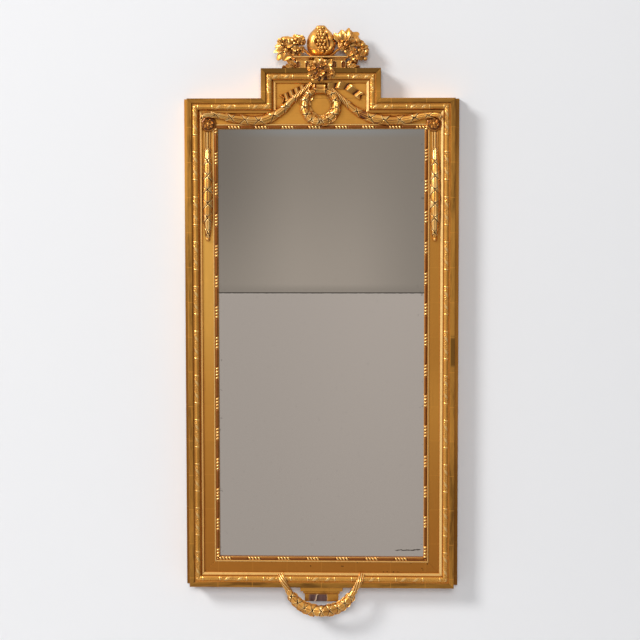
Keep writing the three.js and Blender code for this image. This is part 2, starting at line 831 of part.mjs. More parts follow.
const fruitFoot = plinthHead + gap;
const fruitCentre = new THREE.Vector3(0, -(plinth.front + plinth.back) / 2, fruitFoot);
const fruitProfile = [
  [0, 0],
  [0.34, 0],
  [0.42, 0.05],
  [0.8, 0.14],
  [0.99, 0.31],
  [1, 0.45],
  [0.86, 0.63],
  [0.58, 0.77],
  [0.36, 0.84],
  [0.4, 0.93],
  [0.52, 1],
  [0.36, 0.99],
  [0.2, 0.88],
  [0, 0.87],
].map(([r, z]) => new THREE.Vector2(r * fruit.radius, z * fruit.height));
const fruitBody = new THREE.LatheGeometry(fruitProfile, 4 * fruit.crownLobes).rotateX(Math.PI / 2);
const fruitPoints = fruitBody.attributes.position;
for (let i = 0; i < fruitPoints.count; i++) {
  const height = fruitPoints.getZ(i);
  if (height < 0.95 * fruit.height) continue;
  const angle = Math.atan2(fruitPoints.getY(i), fruitPoints.getX(i));
  const dip = 0.03 * fruit.height * (1 - Math.sin(fruit.crownLobes * angle));
  fruitPoints.setZ(i, height - dip);
}
fruitBody.scale(1, fruit.flatness, 1).translate(...fruitCentre);
const splitAt = fruitCentre
  .clone()
  .add(new THREE.Vector3(3.5, -fruit.radius * fruit.flatness, fruit.height * 0.44));
const split = new THREE.SphereGeometry(0.5, 16, 10)
  .scale(fruit.radius * 1.2, fruit.radius * 0.5, fruit.height * 0.66)
  .translate(...splitAt);
const seeds = [
  [-9, -12],
  [0, -16],
  [9, -11],
  [-12, -2],
  [-3, -5],
  [6, -2],
  [13, 1],
  [-8, 8],
  [2, 7],
  [10, 11],
  [-2, 16],
].map(([x, z]) =>
  ball(fruit.seed, splitAt.clone().add(new THREE.Vector3(x, fruit.radius * 0.2, z)), 0),
);
const carvedFruit = join(cut(fruitBody, split), ...seeds);

// A spray of bay leaves and berries that springs from beside the fruit's foot.
const sprayRoot = new THREE.Vector3(-fruit.radius * 0.62, fruitCentre.y, fruitFoot + 4);
function sprayOf(leaves, berries) {
  const point = ([x, z], depth = 0) =>
    sprayRoot.clone().add(new THREE.Vector3(-x * spray.reach, -depth, z * spray.rise));
  const stem = new THREE.CatmullRomCurve3(
    [[-0.1, -0.02], [0.15, 0.15], [0.4, 0.4], [0.7, 0.3], [0.9, 0.05]].map((share) => point(share)),
  );
  const core = loft(
    Array.from({ length: 9 }, (_, i) => {
      const at = stem.getPointAt(i / 8);
      const side = stem.getTangentAt(i / 8).cross(front).normalize();
      return circle(spray.stem * (1.4 - i / 16), 0, 2 * Math.PI, 6)
        .slice(0, -1)
        .map(([c, s]) => at.clone().addScaledVector(side, c).addScaledVector(front, s));
    }),
  );
  return join(
    core,
    ...leaves.map(([x, z, turn, size]) => {
      const angle = THREE.MathUtils.degToRad(turn);
      return placed(
        leaf(spray.leafLength * size, spray.leafWidth * size, 4),
        point([x, z], spray.stem),
        new THREE.Vector3(-Math.cos(angle), -0.1, Math.sin(angle)),
        front,
      );
    }),
    ...berries.map(([x, z]) => ball(spray.berry, point([x, z], spray.stem + 1))),
  );
}
const leftSpray = sprayOf(
  [
    [0.2, 0.22, 76, 0.95],
    [0.32, 0.45, 42, 0.85],
    [0.48, 0.42, 6, 1],
    [0.55, 0.33, -24, 1.15],
    [0.5, 0.25, -50, 1.1],
    [0.32, 0.2, -34, 1],
  ],
  [
    [0.3, 0.42],
    [0.44, 0.52],
    [0.62, 0.18],
    [0.74, 0.32],
  ],
);
const rightSpray = sprayOf(
  [
    [0.23, 0.24, 90, 1.15],
    [0.34, 0.42, 36, 1],
    [0.5, 0.42, 2, 0.95],
    [0.55, 0.3, -22, 1.15],
    [0.5, 0.24, -42, 1.2],
    [0.32, 0.18, -32, 0.9],
  ],
  [
    [0.42, 0.54],
    [0.56, 0.4],
    [0.72, 0.22],
    [0.88, 0.14],
    [0.94, -0.02],
    [0.82, -0.2],
  ],
);
const fruitRoom = new THREE.SphereGeometry(0.5, 24, 16)
  .scale(2 * fruit.radius + 8 * gap, 2 * fruit.radius * fruit.flatness + 8 * gap, fruit.height * 1.24)
  .translate(fruitCentre.x, fruitCentre.y, fruitFoot + fruit.height * 0.4);
// The sprays rest on the cornice and droop past its ends, clear of the wings under them.
const corniceHalf = plinth.width / 2 + cornice.reach + gap;
const wingHalf = plinth.width / 2 + wing.reach + gap;
const plinthRoom = join(
  block([-corniceHalf, -200, plinthFoot], [corniceHalf, 0, fruitFoot]),
  block([-wingHalf, -200, plinthFoot], [wingHalf, 0, plinthFoot + wing.rise + gap]),
);
const cutSpray = (solid) => cut(solid, fruitRoom, plinthRoom);
add("pomegranate", carvedFruit, gilt());
add("fruit_spray_left", cutSpray(leftSpray), gilt());
add("fruit_spray_right", cutSpray(rightSpray), gilt()).scale.x = -1;

// ---- Apron plinth and swag under the bottom rail ----
add(
  "apron_plinth",
  tiers(
    [
      [-gap, 10],
      [-9.5, 10],
      [-11, 3.5],
      [-15.5, 3.5],
      [-18, 0],
      [-35.5, 0],
    ],
    apron.width,
    apron.front - 10,
    apron.back,
  ),
  gilt(),
);
const overBand = depthOf("band") + gap;
const swagCurve = curveThrough([
  [-swag.span, depthOf("fillet") + gap, swag.reach],
  [-swag.span, overBand, swag.reach - 10],
  [-swag.span * 0.92, overBand, 0],
  [-swag.span * 0.66, overBand, -swag.sag * 0.62],
  [-swag.span * 0.36, overBand, -swag.sag * 0.93],
  [0, overBand, -swag.sag],
  [swag.span * 0.36, overBand, -swag.sag * 0.93],
  [swag.span * 0.66, overBand, -swag.sag * 0.62],
  [swag.span * 0.92, overBand, 0],
  [swag.span, overBand, swag.reach - 10],
  [swag.span, depthOf("fillet") + gap, swag.reach],
]);
const swagWidth = (t) =>
  ramp([[0, swag.strand], [0.2, swag.strand + 3], [0.38, swag.width], [0.62, swag.width], [0.8, swag.strand + 3], [1, swag.strand]], t);
const swagHeight = (t) => swagWidth(t) * (swag.height / swag.width);
add(
  "apron_swag",
  seated(
    laurel(swagCurve, swagWidth, swagHeight, 22, {
      pitch: swag.leafPitch,
      length: 24,
      from: 0.16,
      to: 0.82,
    }),
  ),
  gilt(),
);

export default mirror;
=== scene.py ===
"""A gilded pier mirror: its fine carving, finishes and studio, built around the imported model.

Everything is in metres in the model's own frame: +X to the viewer's right, -Y out of the wall, +Z up.
Sizes written in millimetres are turned into metres by MM.
"""

import math

import bpy  # noqa: E402
import numpy as np  # noqa: E402
from bpy.props import FloatProperty, FloatVectorProperty, IntProperty, PointerProperty  # noqa: E402
from mathutils import Matrix, Vector  # noqa: E402


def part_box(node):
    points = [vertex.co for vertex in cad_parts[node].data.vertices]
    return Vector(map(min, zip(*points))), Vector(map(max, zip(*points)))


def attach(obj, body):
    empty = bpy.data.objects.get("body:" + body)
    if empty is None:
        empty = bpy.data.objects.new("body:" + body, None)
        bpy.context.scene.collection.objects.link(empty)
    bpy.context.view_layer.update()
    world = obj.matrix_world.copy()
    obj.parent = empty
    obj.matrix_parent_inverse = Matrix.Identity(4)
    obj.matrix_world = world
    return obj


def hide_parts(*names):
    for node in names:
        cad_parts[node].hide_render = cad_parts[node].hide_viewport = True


bl_info = {
    "name": "Pier Mirror",
    "version": (1, 0, 0),
    "blender": (4, 5, 0),
    "location": "3D View > Sidebar > Pier Mirror",
    "description": "Carving, gilding, old silvering and studio for a two-plate pier mirror",
    "category": "Object",
}

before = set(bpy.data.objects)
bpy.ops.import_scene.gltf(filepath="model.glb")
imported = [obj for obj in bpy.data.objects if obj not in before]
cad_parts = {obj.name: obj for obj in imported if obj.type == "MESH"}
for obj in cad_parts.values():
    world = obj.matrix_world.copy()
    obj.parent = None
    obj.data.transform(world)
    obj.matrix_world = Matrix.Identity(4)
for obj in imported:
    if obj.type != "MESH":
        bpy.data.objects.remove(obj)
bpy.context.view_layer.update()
MM = 0.001
BODY = "mirror_frame"
RUNS = ["bottom", "right", "shoulder_right", "crest_right", "crest_top", "crest_left", "shoulder_left", "left"]
SIGHT_RUNS = ["bottom", "right", "top", "left"]
SIDES = {"left": -1, "right": 1}

# ---- The frame's outline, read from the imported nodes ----
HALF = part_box("outer_band_right")[1].x
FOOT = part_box("outer_band_bottom")[0].z
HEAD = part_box("outer_band_shoulder_left")[1].z
CREST_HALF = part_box("outer_band_crest_right")[1].x
CREST_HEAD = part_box("outer_band_crest_top")[1].z
FRIEZE = -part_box("carcass_rail_bottom")[0].y  # depth of the frieze's face from the wall
BAND_FACE = -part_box("outer_band_left")[0].y  # and of the outer band's
OUTLINE = [
    (-HALF, FOOT), (HALF, FOOT), (HALF, HEAD), (CREST_HALF, HEAD),
    (CREST_HALF, CREST_HEAD), (-CREST_HALF, CREST_HEAD), (-CREST_HALF, HEAD), (-HALF, HEAD),
]
RECTANGLE = [(-HALF, FOOT), (HALF, FOOT), (HALF, HEAD), (-HALF, HEAD)]


# ---- Sizes and colours that a user would change ----
class GildingSettings(bpy.types.PropertyGroup):
    """Colours and wear of the gold."""

    leaf: FloatVectorProperty(
        name="Gold leaf", description="Colour of the burnished leaf", subtype="COLOR", size=3,
        default=(0.84, 0.385, 0.066), min=0, max=1)
    # This colour is also the colour of the shade painted into the hollows.
    toning_and_shade: FloatVectorProperty(
        name="Toning", description="Colour of the aged size and dirt in the hollows", subtype="COLOR", size=3,
        default=(0.38, 0.105, 0.008), min=0, max=1)
    bole: FloatVectorProperty(
        name="Bole", description="Red-brown clay that shows where the leaf is rubbed", subtype="COLOR", size=3,
        default=(0.13, 0.028, 0.008), min=0, max=1)
    wear: FloatProperty(
        name="Wear", description="How much of the bole shows", default=0.35, min=0, max=1, subtype="FACTOR")


class GlassSettings(bpy.types.PropertyGroup):
    """The old silvered plates."""

    # These colours also carry a painted reflection of the room, darker on the upper plate and lighter on the lower.
    upper: FloatVectorProperty(
        name="Upper plate", description="Colour of the upper plate's silvering", subtype="COLOR", size=3,
        default=(0.40, 0.345, 0.285), min=0, max=1)
    lower: FloatVectorProperty(
        name="Lower plate", description="Colour of the lower plate's silvering", subtype="COLOR", size=3,
        default=(0.585, 0.515, 0.450), min=0, max=1)


class MouldingSettings(bpy.types.PropertyGroup):
    """Pattern of the ribbon and bead mouldings."""

    ribbon_repeat: FloatProperty(
        name="Ribbon repeat", description="Length of one turn of leafage, ribbon and bare stick",
        default=0.104, min=0.02, max=0.3, unit="LENGTH")
    bead: FloatProperty(
        name="Bead", description="Length of one bead", default=0.0074, min=0.003, max=0.02, unit="LENGTH")
    beads: IntProperty(name="Beads in a group", description="Beads between two bars", default=4, min=1, max=12)
    bead_repeat: FloatProperty(
        name="Bead repeat", description="From one group of beads to the next", default=0.0705,
        min=0.03, max=0.3, unit="LENGTH")


class LaurelSettings(bpy.types.PropertyGroup):
    """Size of the overlapping bay leaves."""

    pitch: FloatProperty(
        name="Pitch", description="From one leaf's tip to the next along the crown of a bundle", default=0.033,
        min=0.01, max=0.08, unit="LENGTH")
    lift: FloatProperty(
        name="Lift", description="How far a leaf's tip stands over the next leaf", default=0.0036,
        min=0.0005, max=0.006, unit="LENGTH")


class StudioSettings(bpy.types.PropertyGroup):
    """The wall, the light and the camera."""

    wall: FloatVectorProperty(
        name="Wall", description="Colour of the wall and floor", subtype="COLOR", size=3,
        default=(0.86, 0.86, 0.87), min=0, max=1)
    lens: FloatProperty(name="Lens", description="Focal length on a 36 mm sensor", default=100.95, min=10, max=300)
    floor_drop: FloatProperty(
        name="Floor", description="Height of the frame's foot over the floor", default=0.75,
        min=0.1, max=2, unit="LENGTH")


SETTINGS = {
    "gilding": GildingSettings, "glass": GlassSettings, "moulding": MouldingSettings,
    "laurel": LaurelSettings, "studio": StudioSettings,
}


def settings(kind):
    return getattr(bpy.context.scene, f"pier_mirror_{kind}")


# ---- Building meshes ----
VEIN_REACH = 0.0008  # how wide a bay leaf's vein is cut
CUT_REACH = 0.0016  # how far the cut round a bay leaf goes into the leaves under it


class Carving:
    """Vertices, faces and a relief value for each vertex, 0 in a hollow and 1 on a burnished high point; from it the
    gilding paints shade into the hollows and a highlight onto the high points.
    """

    def __init__(self):
        self.points, self.quads, self.caps, self.relief, self.count = [], [], [], [], 0

    def skin(self, rings, relief):
        """Adds a closed skin over rings, an array of (ring, point, xyz), with its faces turned outwards."""
        rings = np.asarray(rings, float)
        n, m, _ = rings.shape
        index = np.arange(n * m).reshape(n, m)
        a, b = index[:-1], index[1:]
        quads = np.stack([a, np.roll(a, -1, 1), np.roll(b, -1, 1), b], -1).reshape(-1, 4)
        ends = [index[0, ::-1].tolist(), index[-1].tolist()]
        flat = rings.reshape(-1, 3)
        corner = flat[quads] - flat[0]
        volume = sum(np.einsum("ij,ij->", corner[:, 0], np.cross(corner[:, k], corner[:, k + 1])) for k in (1, 2))
        if volume < 0:
            quads, ends = quads[:, ::-1], [end[::-1] for end in ends]
        self.points.append(flat)
        self.quads += (quads + self.count).tolist()
        self.caps += [[i + self.count for i in end] for end in ends]
        self.relief.append(np.broadcast_to(relief, (n, m)).ravel().copy())
        self.count += len(flat)

    def finish(self, name, material, replaces=(), body=BODY, crease=50):
        """Makes the object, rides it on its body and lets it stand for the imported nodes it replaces."""
        mesh = bpy.data.meshes.new(name)
        mesh.from_pydata(np.concatenate(self.points).tolist(), [], self.quads + self.caps)
        mesh.shade_smooth()
        mesh.set_sharp_from_angle(angle=math.radians(crease))
        mesh.attributes.new("relief", "FLOAT", "POINT").data.foreach_set(
            "value", np.clip(np.concatenate(self.relief), 0, 1).astype(np.float32))
        piece = bpy.data.objects.new(name, mesh)
        bpy.context.scene.collection.objects.link(piece)
        mesh.materials.append(material)
        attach(piece, body)
        if replaces:
            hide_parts(*replaces)
        return piece


def stops(pairs, t):
    """Values at t along a list of (share, value) stops."""
    xs, ys = zip(*pairs)
    return np.interp(t, xs, ys)


def smooth(a, b, x):
    t = np.clip((x - a) / (b - a), 0, 1)
    return t * t * (3 - 2 * t)


def blurred(field, rows, cols):
    """A height field averaged over a window, used to find its hollows."""
    out = field
    for axis, reach in ((0, rows), (1, cols)):
        out = sum(np.roll(out, k, axis) for k in range(-reach, reach + 1)) / (2 * reach + 1)
    return out


def through(points, steps=240):
    """Evenly spaced points on a smooth curve through the given ones, and its length."""
    p = np.asarray(points, float)
    p = np.vstack([2 * p[0] - p[1], p, 2 * p[-1] - p[-2]])
    out = []
    for i in range(1, len(p) - 2):
        t = np.linspace(0, 1, 40, endpoint=i == len(p) - 3)[:, None]
        a, b, c, d = p[i - 1: i + 3]
        out.append(0.5 * (2 * b + (c - a) * t + (2 * a - 5 * b + 4 * c - d) * t**2
                          + (3 * b - a - 3 * c + d) * t**3))
    fine = np.vstack(out)
    run = np.concatenate([[0], np.cumsum(np.linalg.norm(np.diff(fine, axis=0), axis=1))])
    even = np.linspace(0, run[-1], steps)
    return np.stack([np.interp(even, run, fine[:, k]) for k in range(3)], 1), run[-1]


class Rope:
    """A half-round bundle along a path, with its flat back on the frame.

    Its width and height are lists of (share of the length, millimetres).
    """

    def __init__(self, points, width, height):
        self.path, self.length = through(points)
        self.width, self.height = ([(share, size * MM) for share, size in sizes] for sizes in (width, height))
        way = np.gradient(self.path, axis=0)
        self.way = way / np.linalg.norm(way, axis=1, keepdims=True)

    def at(self, s, across, lift):
        """Points at distance s, angle across (0 at the crown) and lift above the bundle's face."""
        s, across, lift = np.broadcast_arrays(s, across, lift)
        share = np.clip(s / self.length, 0, 1)
        f = share * (len(self.path) - 1)
        i = np.clip(f.astype(int), 0, len(self.path) - 2)
        w = (f - i)[..., None]
        along = self.way[i] * (1 - w) + self.way[i + 1] * w
        centre = self.path[i] * (1 - w) + self.path[i + 1] * w + along * (s - share * self.length)[..., None]
        out = np.array([0.0, -1.0, 0.0]) + along * along[..., 1:2]
        out /= np.linalg.norm(out, axis=-1, keepdims=True)
        side = np.cross(along, out)
        a, b = stops(self.width, share) / 2, stops(self.height, share)
        sin, cos = np.sin(across), np.cos(across)
        normal = side * (sin * b)[..., None] + out * (cos * a)[..., None]
        normal /= np.maximum(np.linalg.norm(normal, axis=-1, keepdims=True), 1e-9)
        return centre + side * (sin * a)[..., None] + out * (cos * b)[..., None] + normal * lift[..., None]

    def grid(self, start, end, step=0.00055, columns=41):
        rows = max(12, int((end - start) * self.length / step))
        s = np.linspace(start, end, rows)[:, None] * self.length
        return np.broadcast_arrays(s, np.linspace(-math.pi / 2, math.pi / 2, columns)[None, :])

    def scales(self, carving, pitch, lift, start=0.0, end=1.0, heading=1, seed=1, point=0.85, gap=0.95, tone=0.50):
        """Bay leaves in overlapping rows, tips along the path (heading 1) or back along it (-1).

        A leaf sits on the crown, the next half a pitch on at both flanks; each rises to its tip over the next.
        `point` draws the tips out, `gap` deepens the cut round a leaf, and `tone` is the leaves' middle relief.
        """

        def covered(back):
            """Half the angle that a leaf covers, at a distance back from its tip."""
            return 0.56 * math.pi * np.sin(np.clip(back / (0.62 * pitch), 0, 1) * math.pi / 2) ** point

        s, across = self.grid(start, end)
        chance = np.random.default_rng(seed)
        lo, hi = start * self.length, end * self.length
        half = np.interp(s / self.length, *zip(*self.width)) / 2
        height = np.full(s.shape, -0.1 * lift)
        owner, toned = np.full(s.shape, np.inf), np.zeros(s.shape)
        leaves = []
        count = int((hi - lo) / (pitch / 2)) + 4
        for k in range(-1, count):
            tip = (lo if heading > 0 else hi) + heading * (k + 0.7) * pitch / 2
            for middle in ((0.0,) if k % 2 else (-math.pi / 2, math.pi / 2)):
                leaves.append((tip + chance.normal(0, 0.03 * pitch), middle + chance.normal(0, 0.05),
                               lift * chance.uniform(0.85, 1.12), lift * chance.normal(0, 0.32),
                               chance.normal(0, 0.16)))
        for tip, middle, rise, lean, shade in leaves:
            back = heading * (tip - s)
            wide = covered(back)
            off = np.abs(across - middle)
            edge = (wide - off) * half
            inside = (back > 0) & (back < 1.6 * pitch) & (edge > 0)
            v = off / np.maximum(wide, 0.05)
            vein = 0.22 * lift * np.exp(-((off * half / VEIN_REACH) ** 2))
            face = rise * (1 - 0.85 * back / pitch) - 0.40 * lift * v**3 - vein
            face = face + lean * np.clip((across - middle) / np.maximum(wide, 0.05), -1, 1)
            over = inside & (face > height)
            height = np.where(over, face, height)
            owner = np.where(over, heading * tip, owner)
            toned = np.where(over, shade, toned)
        for tip, middle, *_ in leaves:
            back = heading * (tip - s)
            edge = (covered(back) - np.abs(across - middle)) * half
            beyond = np.where(back > 0, -edge, np.hypot(-np.minimum(edge, 0), np.minimum(back, 0)))
            near = (owner > heading * tip) & (beyond > -0.0002) & (beyond < CUT_REACH) & (back < 1.2 * pitch)
            height = height - np.where(near, gap * lift * (1 - np.clip(beyond, 0, None) / CUT_REACH), 0)
        hollow = height - blurred(height, 3, 2)
        relief = tone + toned + hollow / (0.26 * lift) + 0.16 * height / lift
        foot = np.cos(across) ** 0.4
        carving.skin(self.at(s, across, height * foot), relief)

    def cords(self, carving, count, start, end, depth=0.0011, twist=0.0):
        """Parallel stems or cords that run along the bundle's face."""
        s, across = self.grid(start, end, step=0.0009, columns=60)
        share = (s / self.length - start) / (end - start)
        phase = (across / math.pi + 0.5 + twist * share) * count
        cord = np.abs(np.cos(math.pi * (phase - 0.5))) ** 0.6
        height = depth * (cord - 0.7)
        carving.skin(self.at(s, across, height * np.cos(across) ** 0.4), -0.25 + 1.2 * cord)


def leaf_outline(t):
    """Half width of a bay leaf along its length, 1 at its widest."""
    return stops([(0, 0.25), (0.1, 0.55), (0.25, 0.88), (0.42, 1), (0.6, 0.9), (0.78, 0.62), (0.9, 0.34), (1, 0.04)], t)


def free_leaf(carving, at, along, facing, length, half_width, cup=0.25, curl=0.2, lobes=0, ripple=0.0,
              thickness=0.0016, veins=0.0005, spin=0.0):
    """A leaf or petal in the round: tip along `along`, upper face towards `facing`, rim rolled by `cup`."""
    n, m = 19, 13
    t = np.linspace(0, 1, n)[:, None]
    v = np.linspace(-1, 1, m)[None, :]
    outline = leaf_outline(t)
    if lobes:
        broad = stops([(0, 0.25), (0.1, 0.62), (0.3, 0.95), (0.55, 1), (0.78, 0.96), (0.92, 0.82), (1, 0.58)], t)
        outline = broad * (0.84 + 0.20 * np.abs(np.sin(math.pi * lobes * t + 0.4)))
    reach = t * (1 - 0.20 * np.abs(v) ** 3 * bool(lobes))
    x, y = length * reach, v * outline * half_width
    waves = ripple * np.sin(9 * t + 3 * v + spin) * np.abs(v)
    z = cup * half_width * (v * outline) ** 2 - curl * length * t**2 + waves
    groove = np.exp(-((v / 0.13) ** 2)) * (1 - 0.6 * t)
    rib = np.cos(math.pi * (5 * t + 3.2 * np.abs(v)) * (1 + bool(lobes)))
    z = z - 1.6 * veins * groove + veins * rib * (1 - groove)
    x_axis = Vector(along).normalized()
    y_axis = Vector(facing).cross(x_axis).normalized()
    basis = np.array([x_axis, y_axis, x_axis.cross(y_axis)])
    top = np.array(at) + np.stack([x, y, z], -1) @ basis
    low = np.array(at) + np.stack([x * 0.98, y * 0.9, z - thickness], -1) @ basis
    high = 0.42 + 0.50 * np.abs(v) ** 3 + 0.20 * t - 0.35 * groove + 0.10 * rib
    carving.skin(np.concatenate([top, low[:, ::-1]], 1), np.concatenate([high, 0.1 + 0 * high], 1))


def bead(carving, at, radius, squash=(1, 1, 1), dimple=0.0, seed=0, facing=(0, -1, 0)):
    """A carved berry, seed or bead: a round that is a little uneven, with a dimple at its tip."""
    n, m = 12, 16
    th = np.linspace(0.1, math.pi - 0.1, n)[:, None]
    ph = np.linspace(0, 2 * math.pi, m, endpoint=False)[None, :]
    chance = np.random.default_rng(seed)
    uneven = 1 + 0.05 * np.sin(2 * ph + chance.uniform(0, 6)) * np.sin(th)
    r = radius * uneven * (1 - dimple * np.exp(-((th / 0.4) ** 2)))
    out = Vector(facing).normalized()
    side = out.cross(Vector((0.13, 0.21, 1))).normalized()
    basis = np.array([side, out, side.cross(out)])
    local = np.stack([r * np.sin(th) * np.cos(ph), r * np.cos(th) + 0 * ph, r * np.sin(th) * np.sin(ph)], -1)
    ring = (local @ basis) * np.array(squash) + np.array(at)
    carving.skin(ring, 0.20 + 0.65 * np.clip(np.cos(th), -0.3, 1) + 0 * ph - 0.4 * dimple * (th < 0.3))


def rose(carving, at, size, facing, seed):
    """A garden rose: two turns of cupped petals round a bud."""
    chance = np.random.default_rng(seed)
    facing = Vector(facing).normalized()
    side = facing.cross(Vector((0, 0, 1))).normalized()
    up = side.cross(facing)
    for turn, (count, spread, stand, length, width) in enumerate(
            ((4, 0.24, 0.04, 0.78, 0.62), (3, 0.06, 0.26, 0.56, 0.50))):
        for k in range(count):
            a = 2 * math.pi * (k + 0.5 * turn) / count + chance.uniform(-0.2, 0.2)
            out = side * math.cos(a) + up * math.sin(a)
            free_leaf(carving, at + out * size * spread + facing * size * stand, out + facing * (0.15 + 0.6 * turn),
                      facing - out * 0.5, size * length, size * width, cup=0.75, curl=0.34 - 0.2 * turn,
                      thickness=0.12 * size, veins=0.02 * size)
    bead(carving, at + facing * size * 0.22, size * 0.16, dimple=0.6, seed=seed, facing=facing)


# ---- Finishes ----
METAL = 0.92  # how metallic the leaf is
LEAF_SQUARE = 0.082  # side of the squares that the leaf was laid in
# Also a painted highlight: the high points are painted paler, as burnished leaf catching the light.
BURNISH_AND_HIGHLIGHT = (1.18, 1.72, 3.9)  # a burnished high point against the leaf: paler and less red
DULL_GOLD = (0.155, 0.072, 0.014)
CARCASS_WOOD, CARCASS_GRAIN = (0.200, 0.105, 0.048), (0.085, 0.042, 0.020)
APRON_GRAIN, APRON_WOOD, APRON_CRACK = (0.055, 0.022, 0.016), (0.16, 0.075, 0.06), (0.62, 0.45, 0.30)
PINE = (0.30, 0.165, 0.078)
IRON, RUST = (0.045, 0.040, 0.037), (0.16, 0.062, 0.025)
# Cool colour of the moulding's shadow, painted across the head of the upper plate.
COOL_HEAD_SHADOW = (0.40, 0.43, 0.44)
SEAM_DARK, SPECK, GLASS_CRACK = (0.030, 0.022, 0.018), (0.10, 0.085, 0.07), (0.09, 0.065, 0.05)
# The painted shade inside the worm holes.
HOLE_SHADE = (0.012, 0.006, 0.003)
# Worm holes in the bottom frieze, drawn as discs of painted shade: x and z in millimetres, and radius.
WORM_HOLES = [(-26, 27.5, 1.4), (47.5, 27.6, 1.2), (51, 27.2, 1.5), (85, 36, 1.2), (147, 14.4, 1.0), (156, 14.8, 1.1),
              (171, 14.2, 1.5), (181.5, 14.4, 1.1), (238.7, 23.4, 1.3), (241, 19.4, 1.0), (251.5, 34, 1.5),
              (212.5, 35, 0.9)]


class Tree:
    """Short words for building a node tree."""

    def __init__(self, tree):
        self.tree = tree

    def new(self, kind, **values):
        node = self.tree.nodes.new(kind)
        for key, value in values.items():
            setattr(node, key, value)
        return node

    def link(self, source, target):
        self.tree.links.new(source, target)

    def feed(self, target, value):
        if isinstance(value, bpy.types.NodeSocket):
            self.link(value, target)
        else:
            target.default_value = value

    def part(self, source, index):
        """One axis of a vector: 0 for x, 1 for y, 2 for z."""
        node = self.new("ShaderNodeSeparateXYZ")
        self.link(source, node.inputs[0])
        return node.outputs[index]

    def maths(self, operation, a, b=0.0):
        node = self.new("ShaderNodeMath", operation=operation)
        self.feed(node.inputs[0], a)
        self.feed(node.inputs[1], b)
        return node.outputs[0]

    def blend(self, factor, first, second):
        """A shader that goes from the first to the second."""
        node = self.new("ShaderNodeMixShader")
        for i, socket in enumerate((factor, first.outputs[0], second.outputs[0])):
            self.link(socket, node.inputs[i])
        return node.outputs[0]


class Nodes(Tree):
    """A new material: its tree, its shader and the place on the object that its patterns are drawn on."""

    def __init__(self, name):
        self.material = bpy.data.materials.new(name)
        self.material.use_nodes = True
        super().__init__(self.material.node_tree)
        self.shader = self.tree.nodes["Principled BSDF"]
        self.place = self.new("ShaderNodeTexCoord").outputs["Object"]

    def surface(self, **values):
        """Sets or links the shader's own sockets, each by its name in small letters."""
        for name, value in values.items():
            self.feed(self.shader.inputs[name.replace("_", " ").title()], value)

    def scaled(self, factors):
        node = self.new("ShaderNodeMapping")
        node.inputs["Scale"].default_value = factors
        self.link(self.place, node.inputs["Vector"])
        return node.outputs["Vector"]

    def noise(self, scale, detail, rough, where=None):
        node = self.new("ShaderNodeTexNoise")
        self.link(where or self.place, node.inputs["Vector"])
        for name, value in (("Scale", scale), ("Detail", detail), ("Roughness", rough)):
            node.inputs[name].default_value = value
        return node.outputs["Fac"]

    def axis(self, index):
        return self.part(self.place, index)

    def distance(self, point):
        """How far the place is from a point."""
        offset = self.new("ShaderNodeVectorMath", operation="SUBTRACT")
        self.link(self.place, offset.inputs[0])
        offset.inputs[1].default_value = point
        length = self.new("ShaderNodeVectorMath", operation="LENGTH")
        self.link(offset.outputs[0], length.inputs[0])
        return length.outputs["Value"]

    def ramp(self, value, low, high, to_low=0.0, to_high=1.0):
        node = self.new("ShaderNodeMapRange", interpolation_type="SMOOTHSTEP")
        for i, x in enumerate((value, low, high, to_low, to_high)):
            self.feed(node.inputs[i], x)
        return node.outputs[0]

    def between(self, value, rise, fall, strength=1.0):
        """`strength` from one place to another and 0 outside; rise and fall are where each end starts and stops."""
        return self.maths("MULTIPLY", self.ramp(value, *rise, 0.0, strength), self.ramp(value, *fall, 1.0, 0.0))

    def line(self, value, at, core, edge, strength=1.0):
        """A line where value is `at`, full inside `core` and gone at `edge`."""
        return self.ramp(self.maths("ABSOLUTE", self.maths("SUBTRACT", value, at)), core, edge, strength, 0.0)

    def mix(self, factor, a, b):
        node = self.new("ShaderNodeMix", data_type="RGBA")
        self.feed(node.inputs["Factor"], factor)
        for socket, value in ((node.inputs["A"], a), (node.inputs["B"], b)):
            self.feed(socket, (*value, 1.0) if isinstance(value, tuple) else value)
        return node.outputs["Result"]

    def bump(self, height, strength, distance):
        node = self.new("ShaderNodeBump")
        node.inputs["Strength"].default_value = strength
        node.inputs["Distance"].default_value = distance
        self.link(height, node.inputs["Height"])
        return node.outputs["Normal"]

    def soften_edges(self, radius):
        """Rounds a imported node's hard edges in the shading."""
        bevel = self.new("ShaderNodeBevel", samples=4)
        bevel.inputs["Radius"].default_value = radius
        self.link(bevel.outputs["Normal"], self.shader.inputs["Normal"].links[0].from_node.inputs["Normal"])


def tint(colour, factor):
    """A colour times one number, or times a number for each of red, green and blue."""
    factors = factor if isinstance(factor, tuple) else (factor,) * 3
    return tuple(min(1.0, c * k) for c, k in zip(colour, factors))


def drawn_out(upright, share):
    """The scale that draws a pattern out along an upright or a level board."""
    return (1.0, 1.0, share) if upright else (share, 1.0, 1.0)


